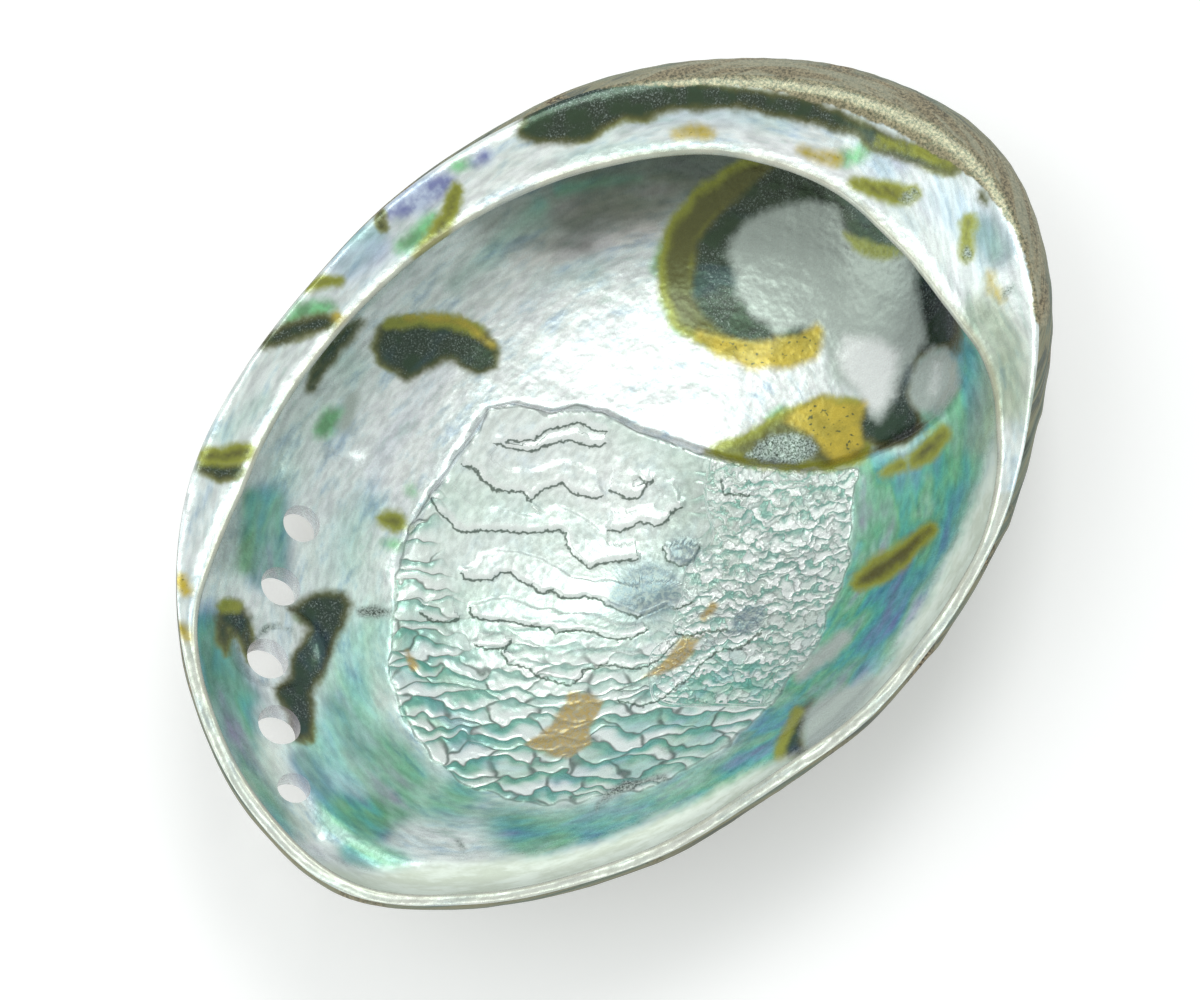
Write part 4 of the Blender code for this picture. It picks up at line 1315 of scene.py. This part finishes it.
def paintScar(nacre, scarIn):
    # the muscle scar: fronts with a painted highlight on their raised edge and a painted shade line
    # at their foot, then lying lumps with painted highlights on their crests, teal painted shade on
    # their undersides and painted shade in their troughs; gives the lumps' bump and where it is
    step, times, attribute, noise = nacre.step, nacre.times, nacre.attribute, nacre.noise
    waver = nacre.calculate("SUBTRACT", noise(nacre.place, 1.1), 0.5)
    front = nacre.scaled(waver, scarLook["frontWander"], attribute("front"))
    # painted highlight along the raised edge of each front
    nacre.paint(times(nacre.band(front, -0.5, 1.0, 3.0, 10.0), scarLook["edgeHighlight"], scarIn),
                "white")
    crumple = times(attribute("crumple"), scarIn)
    lumpShare = times(attribute("rippleShare"), scarIn)

    def lumps(coords, swirl, scale, detail, size):
        # coordinates bent by a noise, then turned level and measured in lumps
        swirl = (scarLook[swirl], scarLook[swirl], 0)
        bent = nacre.vector("MULTIPLY_ADD", noise(nacre.place, scale, detail, 0.5, "Color"),
                            swirl, coords)
        inputs = {"Vector": bent, "Rotation": (0, 0, scarLook["turn"]), "Scale": scarLook[size]}
        return bent, nacre.add("ShaderNodeMapping", inputs, vector_type="TEXTURE").outputs[0]

    bent, lying = lumps(nacre.place, "lumpSwirl", 0.24, 1.5, "lumpSize")
    bent, small = lumps(bent, "crumpSwirl", 0.75, 2.0, "crumpSize")
    lying = nacre.blend(step(crumple, 0.45, 0.55), lying, small)
    edge = nacre.cells(lying, "DISTANCE_TO_EDGE", "Distance")
    fromMiddle = nacre.vector("SUBTRACT", lying, nacre.cells(lying, "F1", "Position"))
    upShare = nacre.add("ShaderNodeSeparateXYZ", {0: fromMiddle}).outputs[1]
    tone = nacre.add("ShaderNodeSeparateColor", {0: nacre.cells(lying, "F1", "Color")}).outputs[0]
    crest = times(step(upShare, -0.35, 0.40, 1, 0), step(tone, 0.1, 0.7, 0.25, 1), lumpShare)
    trough = times(step(edge, 0.01, 0.10, 1, 0), step(upShare, -0.1, 0.3, 1, 0.5), lumpShare,
                   step(crumple, 0.3, 0.8, 1, 0.6))
    border = nacre.band(attribute("scar"), -2.0, -0.8, 0.2, 1.2)
    # painted highlight on each lump's upper side, teal painted shade under it, and painted shade in
    # the troughs
    nacre.paint(times(crest, scarLook["crestHighlight"]), "white")
    nacre.paint(times(step(upShare, 0, 0.5), lumpShare, scarLook["shadowTeal"]), "teal")
    nacre.paint(times(trough, scarLook["troughShade"]), "crack")
    # painted shade: a dark line at the foot of each front
    frontLine = nacre.band(front, -2.9, -1.6, -0.5, 0.6)
    nacre.paint(times(frontLine, scarLook["frontShade"], scarIn), "crack")
    # painted shade along the step of the scar's outline
    nacre.paint(times(border, scarLook["borderShade"]), "crack")
    return step(edge, 0, 0.30, 0, 1.5), lumpShare


def buildNacre():
    # soft tints with iridescent streaks, then the scar, the crisp marks and the bump
    nacre = Shader("nacre")
    step, times, attribute, noise = nacre.step, nacre.times, nacre.attribute, nacre.noise
    flow = attribute("flow", "Vector")
    coarse = noise(nacre.place, *nacreLook["coarse"])
    fine = noise(nacre.place, *nacreLook["fine"])
    moved = [times(nacre.calculate("SUBTRACT", each, 0.5), reach)
             for each, reach in zip((coarse, fine), nacreLook["edgeWander"])]
    wander = nacre.calculate("ADD", *moved)

    def mark(kind, low, high):
        return step(nacre.calculate("ADD", attribute(kind), wander), low, high)

    # iridescence: hues along stretched noise, more where the tint is deep
    tint = attribute("tint", "Color")
    depth = nacre.add("ShaderNodeSeparateColor", {0: tint}, mode="HSV").outputs[1]
    hair = noise(flow, *nacreLook["hair"])
    hue = nacre.ramp(noise(flow, *nacreLook["hueNoise"]), nacreLook["hues"])
    tint = nacre.blend(step(depth, 0.08, 0.65, *nacreLook["hueShare"]), tint, hue)
    glint = step(hair, 0.30, 0.70, *nacreLook["glint"])
    nacre.base = nacre.add("ShaderNodeVectorMath", {0: tint, "Scale": glint},
                           operation="SCALE").outputs[0]
    scarIn = step(attribute("scar"), -2.5, 2.5)
    pearl = nacre.ramp(noise(flow, *nacreLook["pearlNoise"]), nacreLook["pearl"])
    outside, within = nacreLook["pearlShare"]
    nacre.base = nacre.blend(nacre.scaled(scarIn, within - outside, outside), nacre.base, pearl,
                             "MULTIPLY")
    nacre.paint(step(noise(nacre.place, 0.12), 0.55, 0.75, 0, 0.15), "silver")

    rounded, lumpShare = paintScar(nacre, scarIn)
    for kind, low, high, strength, color, *thinning in markLooks:
        share = times(mark(kind, low, high), strength)
        for scale, detail, *limits in thinning:
            share = times(share, step(noise(nacre.place, scale, detail), *limits))
        nacre.paint(share, color)
    edging = nacre.calculate("MAXIMUM", times(attribute("lipEdge"), nacreLook["lipEdge"]),
                             times(attribute("nose"), nacreLook["noseEdge"]))
    nacre.paint(edging, "beige")

    # fine growth lines, grains and the lumps of the scar as bump
    height = nacre.scaled(hair, 0.25, times(fine, 0.20))
    height = nacre.scaled(rounded, lumpShare, nacre.scaled(coarse, 2.2, height))
    dull = mark("cream", -6, 4)
    lip = nacre.calculate("MAXIMUM", attribute("lipEdge"), dull)
    return nacre.finish(height, nacreLook, {
        "Roughness": nacre.scaled(dull, nacreLook["lipRoughness"],
                                  step(fine, 0.3, 0.7, *nacreLook["roughness"])),
        "Metallic": nacreLook["metallic"],
        "Coat Weight": step(lip, 0, 1, nacreLook["coat"], 0),
        "Coat Roughness": nacreLook["coatRoughness"],
        "Thin Film Thickness": nacreLook["film"],
        "Thin Film IOR": nacreLook["filmIor"],
    })


# Outer layer

crustLook = {
    "roughness": 0.75,
    "bump": 0.6,
    "bumpDepth": 0.0005,
    "bands": [(0.30, (0.07, 0.09, 0.075)), (0.44, (0.20, 0.24, 0.19)), (0.52, (0.30, 0.29, 0.19)),
              (0.60, (0.12, 0.14, 0.12)), (0.72, (0.30, 0.33, 0.28))],
    "banding": (0.16, 5, 0.6),   # scale, detail and roughness of the noises
    "grains": (2.2, 4, 0.7),
    "patches": (0.10, 4, 0.6),
    "marginShare": 0.85,
    "below": 27.0,               # millimetres, under which the faces of the side are crust too
}


def buildCrust():
    # dull grey-green and tan growth bands with a granular crust, and grit along the margin
    crust = Shader("outerLayer")
    step = crust.step
    banding = crust.noise(crust.attribute("growth", "Vector"), *crustLook["banding"])
    grains = crust.noise(crust.place, *crustLook["grains"])
    patches = crust.noise(crust.place, *crustLook["patches"])
    crust.base = crust.ramp(banding, crustLook["bands"])
    crust.paint(step(patches, 0.54, 0.66), "scale")
    margin = crust.blend(step(banding, 0.44, 0.56, 0, 0.45), crust.color("grit"),
                         crust.color("stone"))
    edge = step(crust.scaled(patches, 14, crust.attribute("crust")), 4, 9)
    crust.base = crust.blend(crust.times(edge, crustLook["marginShare"]), crust.base, margin)
    return crust.finish(crust.scaled(banding, 1.2, grains), crustLook,
                        {"Roughness": crustLook["roughness"]})


def finishShell(shell):
    # nacre on the inside and the plate, the outer layer on every face of the back and on the
    # faces between plate and back that reach below the given height
    mesh = shell.data
    storeMarkings(mesh)
    mesh.materials.clear()
    mesh.materials.append(buildNacre())
    mesh.materials.append(buildCrust())
    section = readArray(mesh.attributes["section"].data, "value")
    height = readArray(mesh.vertices, "co", 3)[:, 2]
    corners = readArray(mesh.loops, "vertex_index", kind=np.int32)
    starts = readArray(mesh.polygons, "loop_start", kind=np.int32)
    lowest = np.minimum.reduceat(section[corners], starts)
    highest = np.maximum.reduceat(section[corners], starts)
    bottom = np.minimum.reduceat(height[corners], starts)
    outside = (lowest > 1.5) | ((highest > 1.5) & (bottom < crustLook["below"] * mm))
    mesh.polygons.foreach_set("material_index", outside.astype(np.int32))
    mesh.update()
    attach(shell, "root")
    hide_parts("abalone_shell")
    print("stage: shell finished")


finishShell(shell)


# Floor, light and camera

studio = {
    "floorColor": (0.90, 0.905, 0.91, 1),
    "floorRoughness": 0.9,
    "floorGlow": 0.22,
    "floorReach": 2.0,
    "worldColor": (0.97, 1.0, 0.98, 1),
    "worldStrength": 0.66,
    # name, place, width, height and watts of each softbox; all face the origin
    "softboxes": [("overheadSoftbox", (0.36, 0.20, 0.8), 0.34, 0.40, 1.9),
                  ("leftSoftbox", (-0.5, 0.4, 0.7), 0.8, 0.8, 2.8)],
}


def aimed(direction):                            # the turn that faces a lamp or camera that way
    return Vector(direction).to_track_quat("-Z", "Y").to_euler()


def buildFloor():
    # a white sheet with a slight glow of its own, and an even sky
    corners = np.array([(-1, -1, 0), (1, -1, 0), (1, 1, 0), (-1, 1, 0)]) * studio["floorReach"]
    floor = placeObject("studioFloor", meshFrom("studioFloor", corners, [(0, 1, 2, 3)], {}))
    paper = Shader("paper")
    paper.put(paper.surface, {
        "Base Color": studio["floorColor"],
        "Roughness": studio["floorRoughness"],
        "Emission Color": studio["floorColor"],
        "Emission Strength": studio["floorGlow"],
    })
    floor.data.materials.append(paper.material)
    world = bpy.data.worlds.new("studioWorld")
    bpy.context.scene.world = world
    world.use_nodes = True
    sky = world.node_tree.nodes["Background"]
    sky.inputs["Color"].default_value = studio["worldColor"]
    sky.inputs["Strength"].default_value = studio["worldStrength"]


def addSoftboxes():
    # area lights in their places, each turned towards the origin
    for name, place, width, height, watts in studio["softboxes"]:
        light = bpy.data.lights.new(name, "AREA")
        light.shape = "RECTANGLE"
        light.size, light.size_y = width, height
        light.energy = watts
        softbox = placeObject(name, light)
        softbox.location = place
        softbox.rotation_euler = aimed([-each for each in place])


def addCamera():
    # the camera stands back from its target by its distance, along the view's backward direction
    right, up, backward = cameraAxes()
    lens = bpy.data.cameras.new("viewCamera")
    lens.lens = camera["lens"]
    lens.sensor_width = camera["sensor"]
    lens.clip_start = 0.01
    eye = placeObject("viewCamera", lens)
    eye.location = (np.array(camera["target"]) + backward * camera["distance"]) * mm
    eye.rotation_euler = aimed(-backward)
    bpy.context.scene.camera = eye


buildFloor()
addSoftboxes()
addCamera()
print("stage: floor, light and camera placed")
bpy.context.scene.view_settings.view_transform = "Standard"

print("stage: done")
